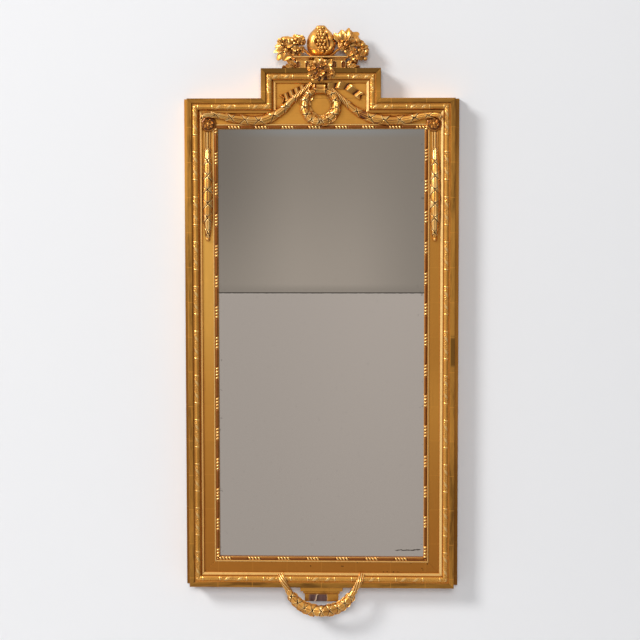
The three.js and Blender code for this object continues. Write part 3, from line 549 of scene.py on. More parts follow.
def gilding(name, relief=True, leaf=1.0, toned=0.0, streak=None, worn=0.0, rough=0.34, deep=0.0, varnish=0.0,
            reach=0.010):
    """Leaf over bole: toned in the hollows, where the occlusion also paints shade; pale on burnished high points, a
    painted highlight; rubbed to the bole in small patches; `deep` paints the deepest hollows a dark shade.

    With `relief` the mesh says what is high and what is hollow; `reach` is how wide a gap still counts as hollow.
    """
    g = settings("gilding")
    n = Nodes(name)
    leaf_colour, bole = tint(g.leaf, leaf), tuple(g.bole)
    where = n.scaled(streak) if streak else n.place
    cloud = n.noise(14, 4, 0.6, where)
    fine = n.noise(150, 3, 0.6, where)
    # Painted shade: the occlusion and a low relief darken the hollows towards the colour of aged size and dirt; the
    # cloud below adds real toned patches.
    hollow = n.new("ShaderNodeAmbientOcclusion", samples=6)
    hollow.inputs["Distance"].default_value = reach
    clear = n.ramp(hollow.outputs["AO"], 0.25, 0.85)
    if relief:
        high = n.new("ShaderNodeAttribute", attribute_name="relief").outputs["Fac"]
        clear = n.maths("MULTIPLY", clear, n.ramp(high, 0.05, 0.55, 0.12, 1.0))
    tone = n.maths("ADD", n.maths("SUBTRACT", 1.0, clear), n.ramp(cloud, 0.42, 0.75, toned, toned + 0.20))
    colour = n.mix(n.maths("MINIMUM", tone, 1.0), leaf_colour, tuple(g.toning_and_shade))
    colour = n.mix(n.ramp(fine, 0.5, 0.72, 0, 0.30), colour, tint(leaf_colour, 0.60))
    rubbed = n.ramp(n.noise(46, 5, 0.7, where), 0.60 - 0.12 * worn, 0.70 - 0.12 * worn, 0.0, 0.25 + 0.75 * g.wear)
    open_to_wear = n.ramp(high, 0.5, 1.0, 0.10, 0.5 + 0.3 * worn) if relief else 0.35 + worn
    colour = n.mix(n.maths("MULTIPLY", rubbed, open_to_wear), colour, bole)
    if relief:
        # Painted highlight: the highest relief goes paler, as burnished leaf catching the light.
        colour = n.mix(n.ramp(high, 0.70, 1.0, 0.0, 0.80), colour, tint(g.leaf, BURNISH_AND_HIGHLIGHT))
    # Painted shade: with `deep`, the lowest relief goes a dark red-brown.
    if relief and deep:
        colour = n.mix(n.ramp(high, 0.02, 0.30, deep, 0.0), colour, tint(bole, 0.4))
    matt = n.maths("ADD", fine, n.maths("MULTIPLY", tone, 0.5))
    flaws = n.maths("ADD", n.maths("MULTIPLY", cloud, 0.7), n.maths("MULTIPLY", fine, 0.3))
    n.colour = colour
    n.surface(base_color=colour, metallic=METAL, coat_weight=varnish, coat_roughness=0.16,
              roughness=n.ramp(matt, 0.3, 1.2, rough - 0.08, rough + 0.22), normal=n.bump(flaws, 0.22, 0.0008))
    return n


def leaf_squares(n, colour, upright, strength):
    """The squares the leaf was laid in: each a little different, with a thin lap between them."""
    leaf = settings("gilding").leaf
    place = n.maths("DIVIDE", n.axis(2 if upright else 0), LEAF_SQUARE)
    square = n.new("ShaderNodeTexWhiteNoise", noise_dimensions="1D")
    n.link(n.maths("FLOOR", place), square.inputs["W"])
    colour = n.mix(n.maths("MULTIPLY", square.outputs["Value"], strength), colour, tint(leaf, 0.45))
    from_middle = n.maths("ABSOLUTE", n.maths("SUBTRACT", n.maths("FRACT", place), 0.5))
    return n.mix(n.ramp(from_middle, 0.484, 0.494, 0.0, 1.6 * strength), colour, tint(leaf, 1.05))


def carved_gold():
    return gilding("carved gilding", leaf=0.95, rough=0.31, deep=0.85, varnish=0.45).material


def moulding_gold():
    return gilding("gilded mouldings", leaf=0.93, toned=0.05, rough=0.33, varnish=0.2, reach=0.004).material


def beading_gold():
    return gilding("rubbed beading", toned=0.05, worn=0.5, rough=0.33, deep=0.45, varnish=0.3, reach=0.004).material


def band_gold(upright):
    """Old oil gilding, thin and streaked where it has dulled; duller on the crest and in one patch at the right."""
    streak = drawn_out(upright, 0.12)
    n = gilding("band gilding " + ("upright" if upright else "level"), relief=False, leaf=0.88 if upright else 0.70,
                toned=0.10, streak=streak, worn=0.5, rough=0.36)
    height = n.axis(2)
    dull = n.ramp(n.noise(46, 5, 0.7, n.scaled(streak)), 0.38, 0.66, 0.0, 0.72)
    dull = n.maths("MAXIMUM", dull, n.ramp(height, HEAD + 0.004, CREST_HEAD - 0.02, 0.0, 0.50 if upright else 0.85))
    if upright:
        patch = n.maths("MULTIPLY", n.ramp(n.axis(0), HALF - 0.011, HALF - 0.008),
                        n.between(height, (0.500, 0.512), (0.568, 0.584)))
        dull = n.maths("MAXIMUM", dull, n.maths("MULTIPLY", patch, 0.95))
    n.surface(base_color=leaf_squares(n, n.mix(dull, n.colour, DULL_GOLD), upright, 0.30))
    n.soften_edges(0.0012)
    return n.material


def frieze_gold(upright):
    """The broad flat of the frieze, painted darker and browner to the foot as shade, with a painted highlight on the
    left stile, painted shade on the right, dull side boards and a few worm holes painted as dark discs of shade; bare
    behind.
    """
    n = gilding("frieze gilding " + ("upright" if upright else "level"), relief=False, toned=0.02,
                streak=drawn_out(upright, 0.12), worn=0.1, rough=0.40)
    leaf, side, height = settings("gilding").leaf, n.axis(0), n.axis(2)
    # Painted shade: darker and browner towards the foot.
    low = n.ramp(height, FOOT, FOOT + 0.72, 1.0, 0.0)
    colour = n.mix(n.maths("MULTIPLY", low, 0.85), n.colour, tint(leaf, (0.56, 0.42, 0.34)))
    if upright:
        # A painted highlight high on the left stile, and painted shade (the browning below) on the right stile.
        burnished = n.maths("MULTIPLY", n.between(height, (0.40, 0.72), (0.86, 1.12)),
                            n.ramp(side, -0.1, 0.1, 0.8, 0.1))
        colour = n.mix(burnished, colour, tint(leaf, (1.16, 1.34, 1.6)))
        browned = n.maths("MULTIPLY", n.ramp(side, 0.1, 0.2, 0.0, 0.55),
                          n.between(height, (0.40, 0.55), (0.78, 0.90)))
        colour = n.mix(browned, colour, tint(leaf, (0.62, 0.50, 0.40)))
        # The side boards are darker: the left one less so towards its top, the right one less so at mid-height.
        left_board_dark = n.ramp(height, 0.66, 1.05, 0.85, 0.10)
        right_board_dark = n.maths("SUBTRACT", 0.8, n.between(height, (0.15, 0.42), (0.9, 1.1), 0.55))
        board = n.maths("MULTIPLY", n.ramp(n.maths("ABSOLUTE", side), HALF, HALF + 0.5 * MM),
                        n.mix(n.ramp(side, -0.1, 0.1), left_board_dark, right_board_dark))
        colour = n.mix(board, colour, tint(leaf, (0.30, 0.26, 0.22)))
    else:
        # Painted shade: each worm hole is a dark disc.
        for x, z, radius in WORM_HOLES:
            away = n.distance((x * MM, -FRIEZE, z * MM))
            colour = n.mix(n.ramp(away, radius * 0.6 * MM, radius * 1.25 * MM, 1.0, 0.0), colour, HOLE_SHADE)
    colour = leaf_squares(n, colour, upright, 0.10)
    # The back was never gilded: bare browned wood, with its grain along the board.
    back = n.ramp(n.part(n.new("ShaderNodeTexCoord").outputs["Normal"], 1), 0.5, 0.9)
    grain = n.ramp(n.noise(150, 4, 0.6, n.scaled(drawn_out(upright, 0.08))), 0.35, 0.7)
    n.surface(base_color=n.mix(back, colour, n.mix(grain, CARCASS_WOOD, CARCASS_GRAIN)),
              metallic=n.ramp(back, 0.0, 1.0, METAL, 0.0))
    n.soften_edges(0.0009)
    return n.material


def apron_gold():
    """Gilt board and lip, over a block whose middle has lost its gold and shows old cracked wood."""
    n = gilding("apron gilding", relief=False, leaf=0.85, toned=0.10, worn=0.3, rough=0.38)
    foot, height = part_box("apron_plinth")[0].z, n.axis(2)
    along = n.maths("ADD", n.axis(0), n.maths("MULTIPLY", n.noise(60, 3, 0.6), 0.012))
    bare = n.maths("MULTIPLY", n.ramp(height, foot + 16 * MM, foot + 18 * MM, 1.0, 0.0),
                   n.between(along, (-0.027, -0.022), (0.018, 0.022)))
    wood = n.mix(n.ramp(n.noise(120, 4, 0.6, n.scaled((1, 1, 0.1))), 0.35, 0.7), APRON_GRAIN, APRON_WOOD)
    slanting = n.line(along, n.maths("ADD", 0.0129, n.maths("MULTIPLY", height, 0.40)), 0.0008, 0.0020)
    crack = n.maths("MAXIMUM", slanting, n.line(along, 0.020, 0.0006, 0.0014, 0.8))
    n.surface(base_color=n.mix(bare, n.colour, n.mix(crack, wood, APRON_CRACK)),
              metallic=n.maths("SUBTRACT", METAL, n.maths("MULTIPLY", bare, 0.88)))
    n.soften_edges(0.0009)
    return n.material


def bare_pine():
    """Old unfinished pine, browned, with grain that runs up the boards."""
    n = Nodes("bare pine")
    where = n.scaled(drawn_out(True, 0.07))
    rings = n.new("ShaderNodeTexWave", wave_type="BANDS", bands_direction="X")
    n.link(where, rings.inputs["Vector"])
    for name, value in (("Scale", 26), ("Distortion", 7), ("Detail", 3), ("Detail Scale", 1.4)):
        rings.inputs[name].default_value = value
    grain, fibres = rings.outputs["Fac"], n.noise(220, 3, 0.6, where)
    shade = n.mix(n.ramp(grain, 0.2, 0.9, 0, 0.75), PINE, tint(PINE, 0.52))
    shade = n.mix(n.ramp(fibres, 0.45, 0.75, 0, 0.4), shade, tint(PINE, 0.7))
    stain = n.ramp(n.noise(3.5, 4, 0.6), 0.5, 0.8, 0, 0.55)
    n.surface(base_color=n.mix(stain, shade, tint(PINE, 0.35)), roughness=n.ramp(fibres, 0.3, 0.8, 0.62, 0.85),
              normal=n.bump(n.maths("ADD", grain, fibres), 0.3, 0.0006))
    return n.material


def forged_iron():
    """Black iron with rust in patches and fine pits."""
    n = Nodes("forged iron")
    scale, pits = n.noise(60, 5, 0.65), n.noise(420, 3, 0.6)
    n.surface(base_color=n.mix(n.ramp(scale, 0.45, 0.7), IRON, RUST), metallic=n.ramp(scale, 0.4, 0.7, 0.85, 0.25),
              roughness=n.ramp(pits, 0.3, 0.7, 0.42, 0.78), normal=n.bump(n.maths("ADD", pits, scale), 0.4, 0.0004))
    return n.material


def upper_silver_and_reflection(n, colour, lo, hi):
    """Painted reflection of the room: brighter down to the joint, darker to both sides, with a cool painted shadow of
    the moulding at the head.
    """
    height, side = n.axis(2), n.axis(0)
    up = n.ramp(height, lo.z, hi.z - 0.03)
    shade = n.mix(up, tint(colour, 1.34), tint(colour, 0.98))
    # Painted shadow of the moulding: a cool band across the plate's head.
    head = n.ramp(height, hi.z - 0.034, hi.z - 0.014)
    shade = n.mix(n.maths("MULTIPLY", head, 0.55), shade, COOL_HEAD_SHADOW)
    left = n.maths("MULTIPLY", n.ramp(side, lo.x, -0.04, 1.0, 0.0), n.maths("ADD", 0.45, n.maths("MULTIPLY", up, 0.55)))
    shade = n.mix(left, shade, tint(colour, 0.62))
    shade = n.mix(n.ramp(side, 0.06, hi.x, 0.0, 0.6), shade, tint(colour, 0.80))
    return n.mix(n.ramp(height, lo.z + 0.004, lo.z + 0.022, 0.5, 0.0), shade, tint(colour, 0.85))


def lower_silver_and_reflection(n, colour, lo, hi):
    """Painted reflection of the room: brighter to the right, with a pale line and dark chips along the joint."""
    even = n.mix(n.ramp(n.axis(0), lo.x, hi.x), colour, tint(colour, 1.16))
    chips = n.maths("MULTIPLY", n.noise(120, 3, 0.7), 0.0022)
    from_joint = n.maths("ADD", n.maths("SUBTRACT", hi.z, n.axis(2)), n.maths("SUBTRACT", chips, 0.0011))
    shade = n.mix(n.ramp(from_joint, 0.0030, 0.0048, 0.0, 0.35), even, tint(colour, 1.10))
    shade = n.mix(n.ramp(from_joint, 0.0048, 0.0075), shade, even)
    return n.mix(n.ramp(from_joint, 0.0012, 0.0021, 0.95, 0.0), shade, SEAM_DARK)


def old_silvering(upper):
    """Tin and mercury behind old glass: grey, clouded, spotted at the edges, with a fine crack at the lower foot, and a
    painted reflection of the room across it.
    """
    g = settings("glass")
    lo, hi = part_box("mirror_plate_upper" if upper else "mirror_plate_lower")
    n = Nodes("old silvering " + ("upper" if upper else "lower"))
    colour = tuple(g.upper if upper else g.lower)
    shade = (upper_silver_and_reflection if upper else lower_silver_and_reflection)(n, colour, lo, hi)
    shade = n.mix(n.ramp(n.noise(2.2, 2, 0.4), 0.35, 0.75, 0, 0.06), shade, tint(colour, 0.88))
    side = n.axis(0)
    near_edge = n.ramp(n.maths("ABSOLUTE", side), hi.x - 0.03, hi.x - 0.008)
    speck = n.maths("MULTIPLY", n.ramp(n.noise(95, 4, 0.65), 0.62, 0.70),
                    n.maths("ADD", n.maths("MULTIPLY", near_edge, 0.5), 0.05))
    shade = n.mix(speck, shade, SPECK)
    if not upper:
        wander = n.maths("ADD", lo.z + 0.020, n.maths("MULTIPLY", n.noise(38, 3, 0.6), 0.016))
        crack = n.maths("MULTIPLY", n.line(n.axis(2), wander, 0.0006, 0.0016),
                        n.between(side, (0.172, 0.180), (0.232, 0.238)))
        shade = n.mix(crack, shade, GLASS_CRACK)
    n.surface(base_color=shade, metallic=1.0, roughness=n.ramp(n.noise(3, 2, 0.5), 0.3, 0.7, 0.11, 0.14),
              normal=n.bump(n.noise(4, 1, 0.3), 0.02, 0.002), coat_weight=0.35, coat_roughness=0.03)
    return n.material


MAKERS = {
    "carving": carved_gold,
    "moulding": moulding_gold,
    "beading": beading_gold,
    "band upright": lambda: band_gold(True),
    "band level": lambda: band_gold(False),
    "frieze upright": lambda: frieze_gold(True),
    "frieze level": lambda: frieze_gold(False),
    "apron": apron_gold,
    "pine": bare_pine,
    "iron": forged_iron,
    "upper plate": lambda: old_silvering(True),
    "lower plate": lambda: old_silvering(False),
}
FINISHES = {}


def finish_of(kind):
    """Each finish is made once and shared by the pieces that have it."""
    if kind not in FINISHES:
        FINISHES[kind] = MAKERS[kind]()
    return FINISHES[kind]


def paint(node_names, kind):
    for name in node_names:
        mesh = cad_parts[name].data
        mesh.materials.clear()
        mesh.materials.append(finish_of(kind))


# ---- Mouldings ----
MITRE_GAP = 0.0002
RIBBON_RADIUS = 7 * MM
RIBBON_PATTERN = 104  # millimetres in one repeat of the ribbon as it is drawn in ribbon_detail
BEAD_RADIUS = 4 * MM
# Slope and painted highlight of the ribbon moulding's inner face: the sides and foot are tipped to the key light, and
# painted lighter than the head's face.
FACES = {"left": (-0.26, 0.86), "right": (0.42, 1.0), "bottom": (0.32, 0.88)}
HEAD_FACE = (0.14, 0.45)
# For each sight run: how far its repeat is closed up, and the share of a repeat before its first group.
BEAD_STARTS = [(1.0, 0.0), (1.0, 0.965), (0.89, 0.0), (1.0, 0.73)]
FLAT = [0.0, 1.0]  # the normal of a section's flat parts


def corner_vectors(corners, i):
    """Unit direction of run i and the mitre vectors at its two ends, in x and z."""

    def way(k):
        step = corners[(k + 1) % len(corners)] - corners[k % len(corners)]
        return step / np.linalg.norm(step)

    def inward(k):
        x, z = way(k)
        return np.array([-z, x])

    return way(i), inward(i - 1) + inward(i), inward(i) + inward(i + 1)


def run_of_moulding(carving, corners, i, profile, detail, step, contrast):
    """A mitred run of a profile; detail(s, j) is the lift along the normal of each point of its section."""
    section, normals, angles, tone = profile
    p = np.array(corners, float)
    a, b = p[i], p[(i + 1) % len(corners)]
    way, mitre_a, mitre_b = corner_vectors(p, i)
    length = float(np.linalg.norm(b - a))
    share = np.linspace(0, 1, max(8, int(length / step)))[:, None]
    u = section[:, 0][None, :]
    start = u * float(mitre_a @ way) + MITRE_GAP
    end = length + u * float(mitre_b @ way) - MITRE_GAP
    s = start + (end - start) * share
    lift = detail(s, angles[None, :], length)
    inset = u + lift * normals[:, 0][None, :]
    depth = section[:, 1][None, :] + lift * normals[:, 1][None, :]
    x = a[0] + way[0] * s - way[1] * inset
    z = a[1] + way[1] * s + way[0] * inset
    carving.skin(np.stack([x, -depth + 0 * x, z], -1), tone[None, :] + lift / (0.5 * MM) * contrast)


def half_round(start, end, base, crown, steps):
    """Points, normals and angles round a half-round moulding."""
    angle = np.linspace(0, math.pi, steps)
    inset = start + (end - start) * (1 - np.cos(angle)) / 2
    depth = base + (crown - base) * np.sin(angle)
    return inset, depth, np.stack([-np.cos(angle), np.sin(angle)], 1), angle


def profile_of(head, rounded, foot, tone):
    """A section of (inset, depth) points, with its normals, its angles (-1 on flat parts) and its relief."""
    inset, depth, normal, angle = rounded
    section = np.array(head + list(zip(inset, depth)) + foot)
    normals = np.array([FLAT] * len(head) + normal.tolist() + [FLAT] * len(foot))
    angles = np.concatenate([np.full(len(head), -1.0), angle, np.full(len(foot), -1.0)])
    return section, normals, angles, np.concatenate(tone)


def on_round(angles):
    """1 on the crown of the round, 0 at its feet and on the flat parts."""
    return (angles >= 0) * np.clip(np.sin(np.clip(angles, 0, math.pi)), 0, 1)


def ribbon_profile(slope, painted_face_light):
    """A half-round stick, and a face that falls to the frieze by `slope` and is painted lighter by the second argument,
    a painted highlight.
    """
    lo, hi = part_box("ribbon_moulding_right")
    outer, inner = HALF - hi.x, HALF - lo.x
    crown, seat = -lo.y, -hi.y
    groove, stick_end = outer + 1.3 * MM, outer + 14.6 * MM
    inset, depth, normal, angle = half_round(groove, stick_end, FRIEZE + 8.0 * MM, crown - 0.6 * MM, 21)
    depth = np.where(angle < 1.0, np.maximum(depth, FRIEZE + 10.4 * MM), depth)
    head = [(outer, seat), (outer, FRIEZE + 11.6 * MM), (outer + 0.8 * MM, FRIEZE + 10.6 * MM)]
    # A steep cove under the stick, then a face, painted lighter as a highlight, that falls gently to the frieze.
    face = [(at, 4.1 - 2.5 * slope + slope * (7.4 - at)) for at in (1.9, 2.5, 3.6, 5.2, 7.4)]
    cove = [(stick_end + at * MM, FRIEZE + rise * MM) for at, rise in [(0.2, 6.6), (0.7, 5.2)] + face + [(8.2, 2.4)]]
    rubbed = painted_face_light * np.array([0.8, 0.95, 1.0, 1.0, 0.9])
    # Relief across the section: the crease under the stick is set low for painted shade, and the face gets its painted
    # highlight.
    tone = [[0.3, 0.4, 0.25], 0.30 + 0.45 * np.sin(angle), [0.08, 0.08], rubbed, [0.5, 0.4, 0.2]]
    foot = cove + [(inner, FRIEZE + 1.2 * MM), (inner, seat)]
    return profile_of(head, (inset, depth, normal, angle), foot, tone)


def ribbon_detail(repeat):
    """By turns along the half-round: leafage crossed by a ribbon, a collar, a bare stick and a collar."""

    def lift(s, angle, length):
        cell = length / max(1, round(length / repeat))
        from_middle = np.mod(s - length / 2 + cell / 2, cell) - cell / 2
        q = np.abs(from_middle) / cell * RIBBON_PATTERN
        turn = np.sign(from_middle)
        skew = (angle - math.pi / 2) * RIBBON_RADIUS / MM
        leafy = smooth(31, 28.5, q)
        leaflet = np.mod(q + 0.75 * np.abs(skew), 5.2) / 5.2
        out = leafy * (1.1 * leaflet**0.7 - 0.55 - 0.45 * np.exp(-((skew / 0.8) ** 2)))
        crossing = np.abs(q - 15 - 0.95 * turn * skew)
        ribbon = smooth(4.6, 3.8, crossing)
        out = out * (1 - ribbon) + ribbon * (0.55 + 0.22 * np.cos(2 * math.pi * crossing / 2.6))
        out = out - 0.5 * np.exp(-(((crossing - 5.0) / 0.6) ** 2)) * leafy
        collar = np.exp(-(((q - 31.8) / 1.5) ** 2))
        edge = np.exp(-(((q - 34.4) / 0.7) ** 2)) + np.exp(-(((q - 29.4) / 0.7) ** 2))
        out = out + 0.75 * collar - 0.5 * edge
        stick = smooth(34, 36, q)
        out = out + stick * (0.18 * np.cos(skew * 1.3) - 0.25 * np.exp(-(((q - 52) / 10) ** 2)))
        return out * on_round(angle) ** 0.5 * MM * 0.72

    return lift


def sight_profile():
    """A small fillet, then the half-round that the beads are cut from."""
    lo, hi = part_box("sight_beading_right")
    outer, inner = HALF - hi.x, HALF - lo.x
    crown, seat = -lo.y, -hi.y
    fillet_end = outer + 4 * MM
    rounded = half_round(fillet_end, inner, FRIEZE + 1.6 * MM, crown - 0.3 * MM, 11)
    head = [(outer, seat), (outer + 0.3 * MM, FRIEZE + 1.9 * MM), (outer + 1.2 * MM, FRIEZE + 2.3 * MM),
            (fillet_end - 1.2 * MM, FRIEZE + 2.1 * MM), (fillet_end - 0.3 * MM, FRIEZE + 1.6 * MM)]
    angle = rounded[3]
    tone = [[0.2, 0.8, 0.95, 0.8, 0.2], 0.2 + 0.5 * np.sin(angle) + 0.6 * smooth(2.5, 2.9, angle), [0.1]]
    return profile_of(head, rounded, [(inner, seat)], tone)


def bead_detail(bead_length, beads, repeat, start):
    """Groups of round beads between long bars."""

    def lift(s, angle, length):
        cell = length / max(1, round(length / repeat))
        q = np.mod(s - cell * start, cell)
        group = beads * bead_length
        x = np.mod(q + 0.30 * BEAD_RADIUS * (angle - math.pi / 2), bead_length) / bead_length * 2 - 1
        round_bead = np.sqrt(np.clip(1 - x**2, 0.16, 1))
        bar_x = np.clip((q - group) / (cell - group), 0, 1) * 2 - 1
        bar = (0.58 + 0.10 * np.cos(4 * angle)) * np.clip(1 - np.abs(bar_x) ** 14, 0.2, 1) ** 0.5
        return (np.where(q < group, round_bead, bar) - 0.85) * BEAD_RADIUS * on_round(angle)

    return lift


# ---- Operators: one for each piece or group of like pieces ----
class PIERMIRROR_OT_carcass(bpy.types.Operator):
    """Gild the frieze, the outer bands and the side boards"""

    bl_idname = "pier_mirror.carcass"
    bl_label = "Gild Carcass"

    def execute(self, context):
        paint(["carcass_stile_left", "carcass_stile_right"], "frieze upright")
        paint(["carcass_rail_bottom", "carcass_rail_top", "crest_panel"], "frieze level")
        for run in RUNS:
            upright = run in ("left", "right", "crest_left", "crest_right")
            paint([f"outer_band_{run}"], "band upright" if upright else "band level")
        return {"FINISHED"}


class PIERMIRROR_OT_ribbon_mouldings(bpy.types.Operator):
    """Carve the ribbon and leaf moulding inside the outer band"""

    bl_idname = "pier_mirror.ribbon_mouldings"
    bl_label = "Carve Ribbon Mouldings"

    def execute(self, context):
        detail = ribbon_detail(settings("moulding").ribbon_repeat)
        for i, run in enumerate(RUNS):
            profile = ribbon_profile(*FACES.get(run.replace("crest_", ""), HEAD_FACE))
            carving = Carving()
            run_of_moulding(carving, OUTLINE, i, profile, detail, 0.8 * MM, 0.22)
            carving.finish(f"ribbon_run_{run}", finish_of("moulding"), [f"ribbon_moulding_{run}"],
                           crease=40)
        return {"FINISHED"}


class PIERMIRROR_OT_sight_beadings(bpy.types.Operator):
    """Carve the bead and bar moulding round the glass"""

    bl_idname = "pier_mirror.sight_beadings"
    bl_label = "Carve Sight Beadings"

    def execute(self, context):
        m = settings("moulding")
        for i, (run, (closer, start)) in enumerate(zip(SIGHT_RUNS, BEAD_STARTS)):
            detail = bead_detail(m.bead, m.beads, m.bead_repeat * closer, start)
            carving = Carving()
            run_of_moulding(carving, RECTANGLE, i, sight_profile(), detail, 0.55 * MM, 0.36)
            carving.finish(f"bead_run_{run}", finish_of("beading"), [f"sight_beading_{run}"], crease=40)
        return {"FINISHED"}


class PIERMIRROR_OT_plates(bpy.types.Operator):
    """Silver the two mirror plates"""

    bl_idname = "pier_mirror.plates"
    bl_label = "Silver Plates"

    def execute(self, context):
        paint(["mirror_plate_upper"], "upper plate")
        paint(["mirror_plate_lower"], "lower plate")
        return {"FINISHED"}


class PIERMIRROR_OT_backing(bpy.types.Operator):
    """Finish the backboards and glazing strips, with the nails that hold them"""

    bl_idname = "pier_mirror.backing"
    bl_label = "Finish Backing"

    def execute(self, context):
        boards = [f"backboard_{n}" for n in ("left", "centre", "right")]
        strips = [f"glazing_strip_{n}" for n in ("left", "right", "bottom", "top")]
        paint(boards + strips, "pine")
        nails = Carving()
        chance = np.random.default_rng(7)
        for name in boards:
            lo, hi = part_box(name)
            for x in np.linspace(lo.x + 0.022, hi.x - 0.022, 3):
                for z in (lo.z + 0.007, hi.z - 0.007):
                    self.nail(nails, x + chance.normal(0, 0.001), hi.y, z, chance.uniform(0, 1.5))
        nails.finish("board_nails", finish_of("iron"), ())
        return {"FINISHED"}

    @staticmethod
    def nail(carving, x, y, z, turn):
        """A hand-made nail's four-sided head, seated on the board."""
        corner = turn + np.arange(4) * math.pi / 2
        levels = [(0.0008, -0.002), (0.0024, 0.0), (0.0024, 0.0005), (0.0007, 0.0013)]
        carving.skin([np.stack([x + reach * np.cos(corner), np.full(4, y + rise), z + reach * np.sin(corner)], 1)
                      for reach, rise in levels], 0.5)


class PIERMIRROR_OT_hanging_irons(bpy.types.Operator):
    """Finish the iron straps, rings and screws"""

    bl_idname = "pier_mirror.hanging_irons"
    bl_label = "Finish Hanging Irons"

    def execute(self, context):
        for side in SIDES:
            paint([f"hanger_{part}_{side}" for part in ("plate", "ring", "screw_upper", "screw_lower")], "iron")
        return {"FINISHED"}


class PIERMIRROR_OT_laurel_drops(bpy.types.Operator):
    """Carve the two laurel drops under the rosettes"""

    bl_idname = "pier_mirror.laurel_drops"
    bl_label = "Carve Laurel Drops"

    def execute(self, context):
        g = settings("laurel")
        for side, hand in SIDES.items():
            lo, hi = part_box(f"laurel_drop_{side}")
            x, top, foot = (lo.x + hi.x) / 2, hi.z, lo.z
            reeds = 43 * MM / (top - foot)  # share of the drop that is bare reeds
            rope = Rope(
                [(x, hi.y, top), (x, hi.y, (top + foot) / 2), (x, hi.y, foot + 4 * MM)],
                [(0, 15.5), (reeds - 0.01, 13.5), (reeds + 0.03, 13), (reeds + 0.12, 17), (0.46, 20.5), (0.66, 23),
                 (0.82, 20), (0.93, 13), (1, 7)],
                [(0, 3.6), (reeds, 4.2), (reeds + 0.12, 7), (0.46, 9), (0.66, 9.8), (0.82, 9), (0.93, 7), (1, 4)],
            )
            carving = Carving()
            rope.cords(carving, 3, 0, reeds + 0.01, 2.2 * MM)
            rope.scales(carving, g.pitch, g.lift, reeds - 0.02, 1.0, seed=11 + hand, tone=0.60)
            bead(carving, (x, hi.y - 4.6 * MM, foot + 5.2 * MM), 4.8 * MM, seed=3)
            carving.finish(f"laurel_pendant_{side}", finish_of("carving"), [f"laurel_drop_{side}"])
        return {"FINISHED"}


# Turns of petals from the rim in: their number, place and half width as shares of the radius, height and lean.
ROSETTE_TURNS = [(9, 0.36, 0.24, 6.0, 0.05), (7, 0.20, 0.20, 9.0, 0.45), (4, 0.08, 0.15, 11.2, 0.9)]


class PIERMIRROR_OT_rosettes(bpy.types.Operator):
    """Carve the two corner rosettes"""

    bl_idname = "pier_mirror.rosettes"
    bl_label = "Carve Corner Rosettes"

    def execute(self, context):
        for side, hand in SIDES.items():
            lo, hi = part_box(f"corner_rosette_{side}")
            x, z, seat = (lo.x + hi.x) / 2, (lo.z + hi.z) / 2, -hi.y
            radius = (hi.x - lo.x) / 2
            carving = Carving()
            self.dish(carving, x, z, seat, radius)
            for turn, (count, at, size, stand, lean) in enumerate(ROSETTE_TURNS):
                for k in range(count):
                    a = 2 * math.pi * (k + 0.5 * turn) / count + 0.2 * hand
                    out = Vector((math.cos(a), 0, math.sin(a)))
                    free_leaf(carving, Vector((x, -(seat + stand * MM), z)) + out * radius * at,
                              out + Vector((0, -lean, 0)), Vector((0, -1, 0)) - out * 0.3,
                              radius * (0.58 - 0.1 * turn), radius * size, cup=-0.45, curl=0.30, thickness=2.2 * MM)
            bead(carving, (x, lo.y + 4.4 * MM, z), 4.2 * MM, dimple=0.25, seed=5)
            carving.finish(f"rosette_{side}", finish_of("carving"), [f"corner_rosette_{side}"])
        return {"FINISHED"}

    @staticmethod
    def dish(carving, x, z, seat, radius):
        """The low lobed round that the petals stand on."""
        a = np.linspace(0, 2 * math.pi, 72, endpoint=False)
        lobed = 0.97 + 0.03 * np.cos(9 * a)
        levels = [(0.97, 0), (0.99, 2.0), (0.93, 4.4), (0.75, 6.0), (0.4, 7.2), (0.05, 7.6)]
        rings = [np.stack([x + radius * r * lobed * np.cos(a), -(seat + h * MM) + 0 * a,
                           z + radius * r * lobed * np.sin(a)], 1) for r, h in levels]
        carving.skin(rings, np.array([0, 0.25, 0.35, 0.1, 0.05, 0.05])[:, None])


# Middle line of each garland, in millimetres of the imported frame: (x, z) from the rosette to the knot.
GARLANDS = {
    "left": [(-280, 1083), (-273, 1093), (-250, 1094.5), (-190, 1084.5), (-138, 1082.5), (-96, 1102), (-59, 1136),
             (-22, 1168)],
    "right": [(280, 1082), (273, 1092), (246, 1092.5), (186, 1082.5), (138, 1083), (95, 1096), (60, 1122), (24, 1155)],
}
GARLAND_STAND = [14.5, 14, 7, 0, 0, 0, 0, 0]  # how far each point stands out over its seat
# For each garland: the seed of its leaves, their middle relief and the twist of its cords.
GARLAND_LEAVES = {"left": (21, 0.48, 1.1), "right": (22, 0.38, -1.1)}


class PIERMIRROR_OT_garlands(bpy.types.Operator):
    """Carve the two garlands between the rosettes and the knot"""

    bl_idname = "pier_mirror.garlands"
    bl_label = "Carve Garlands"

    def execute(self, context):
        g = settings("laurel")
        for side, points in GARLANDS.items():
            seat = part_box(f"garland_{side}")[1].y
            seed, tone, twist = GARLAND_LEAVES[side]
            rope = Rope(
                [(x * MM, seat - up * MM, z * MM) for (x, z), up in zip(points, GARLAND_STAND)],
                [(0, 6), (0.06, 10), (0.2, 15), (0.36, 21), (0.6, 22.5), (0.78, 16), (1, 10)],
                [(0, 2.6), (0.06, 3.6), (0.2, 6.5), (0.36, 9.2), (0.6, 10.4), (0.78, 9), (1, 7)],
            )
            carving = Carving()
            rope.scales(carving, g.pitch * 1.04, g.lift, 0.0, 0.83, heading=-1, seed=seed, tone=tone)
            rope.cords(carving, 4, 0.80, 1.0, 2.0 * MM, twist=twist)
            carving.finish(f"laurel_garland_{side}", finish_of("carving"), [f"garland_{side}"])
        return {"FINISHED"}


# The wreath's middle, x and z, and half its width and height, in millimetres.
WREATH_MIDDLE, WREATH_REACH = (-1, 1116), (37.5, 36.5)


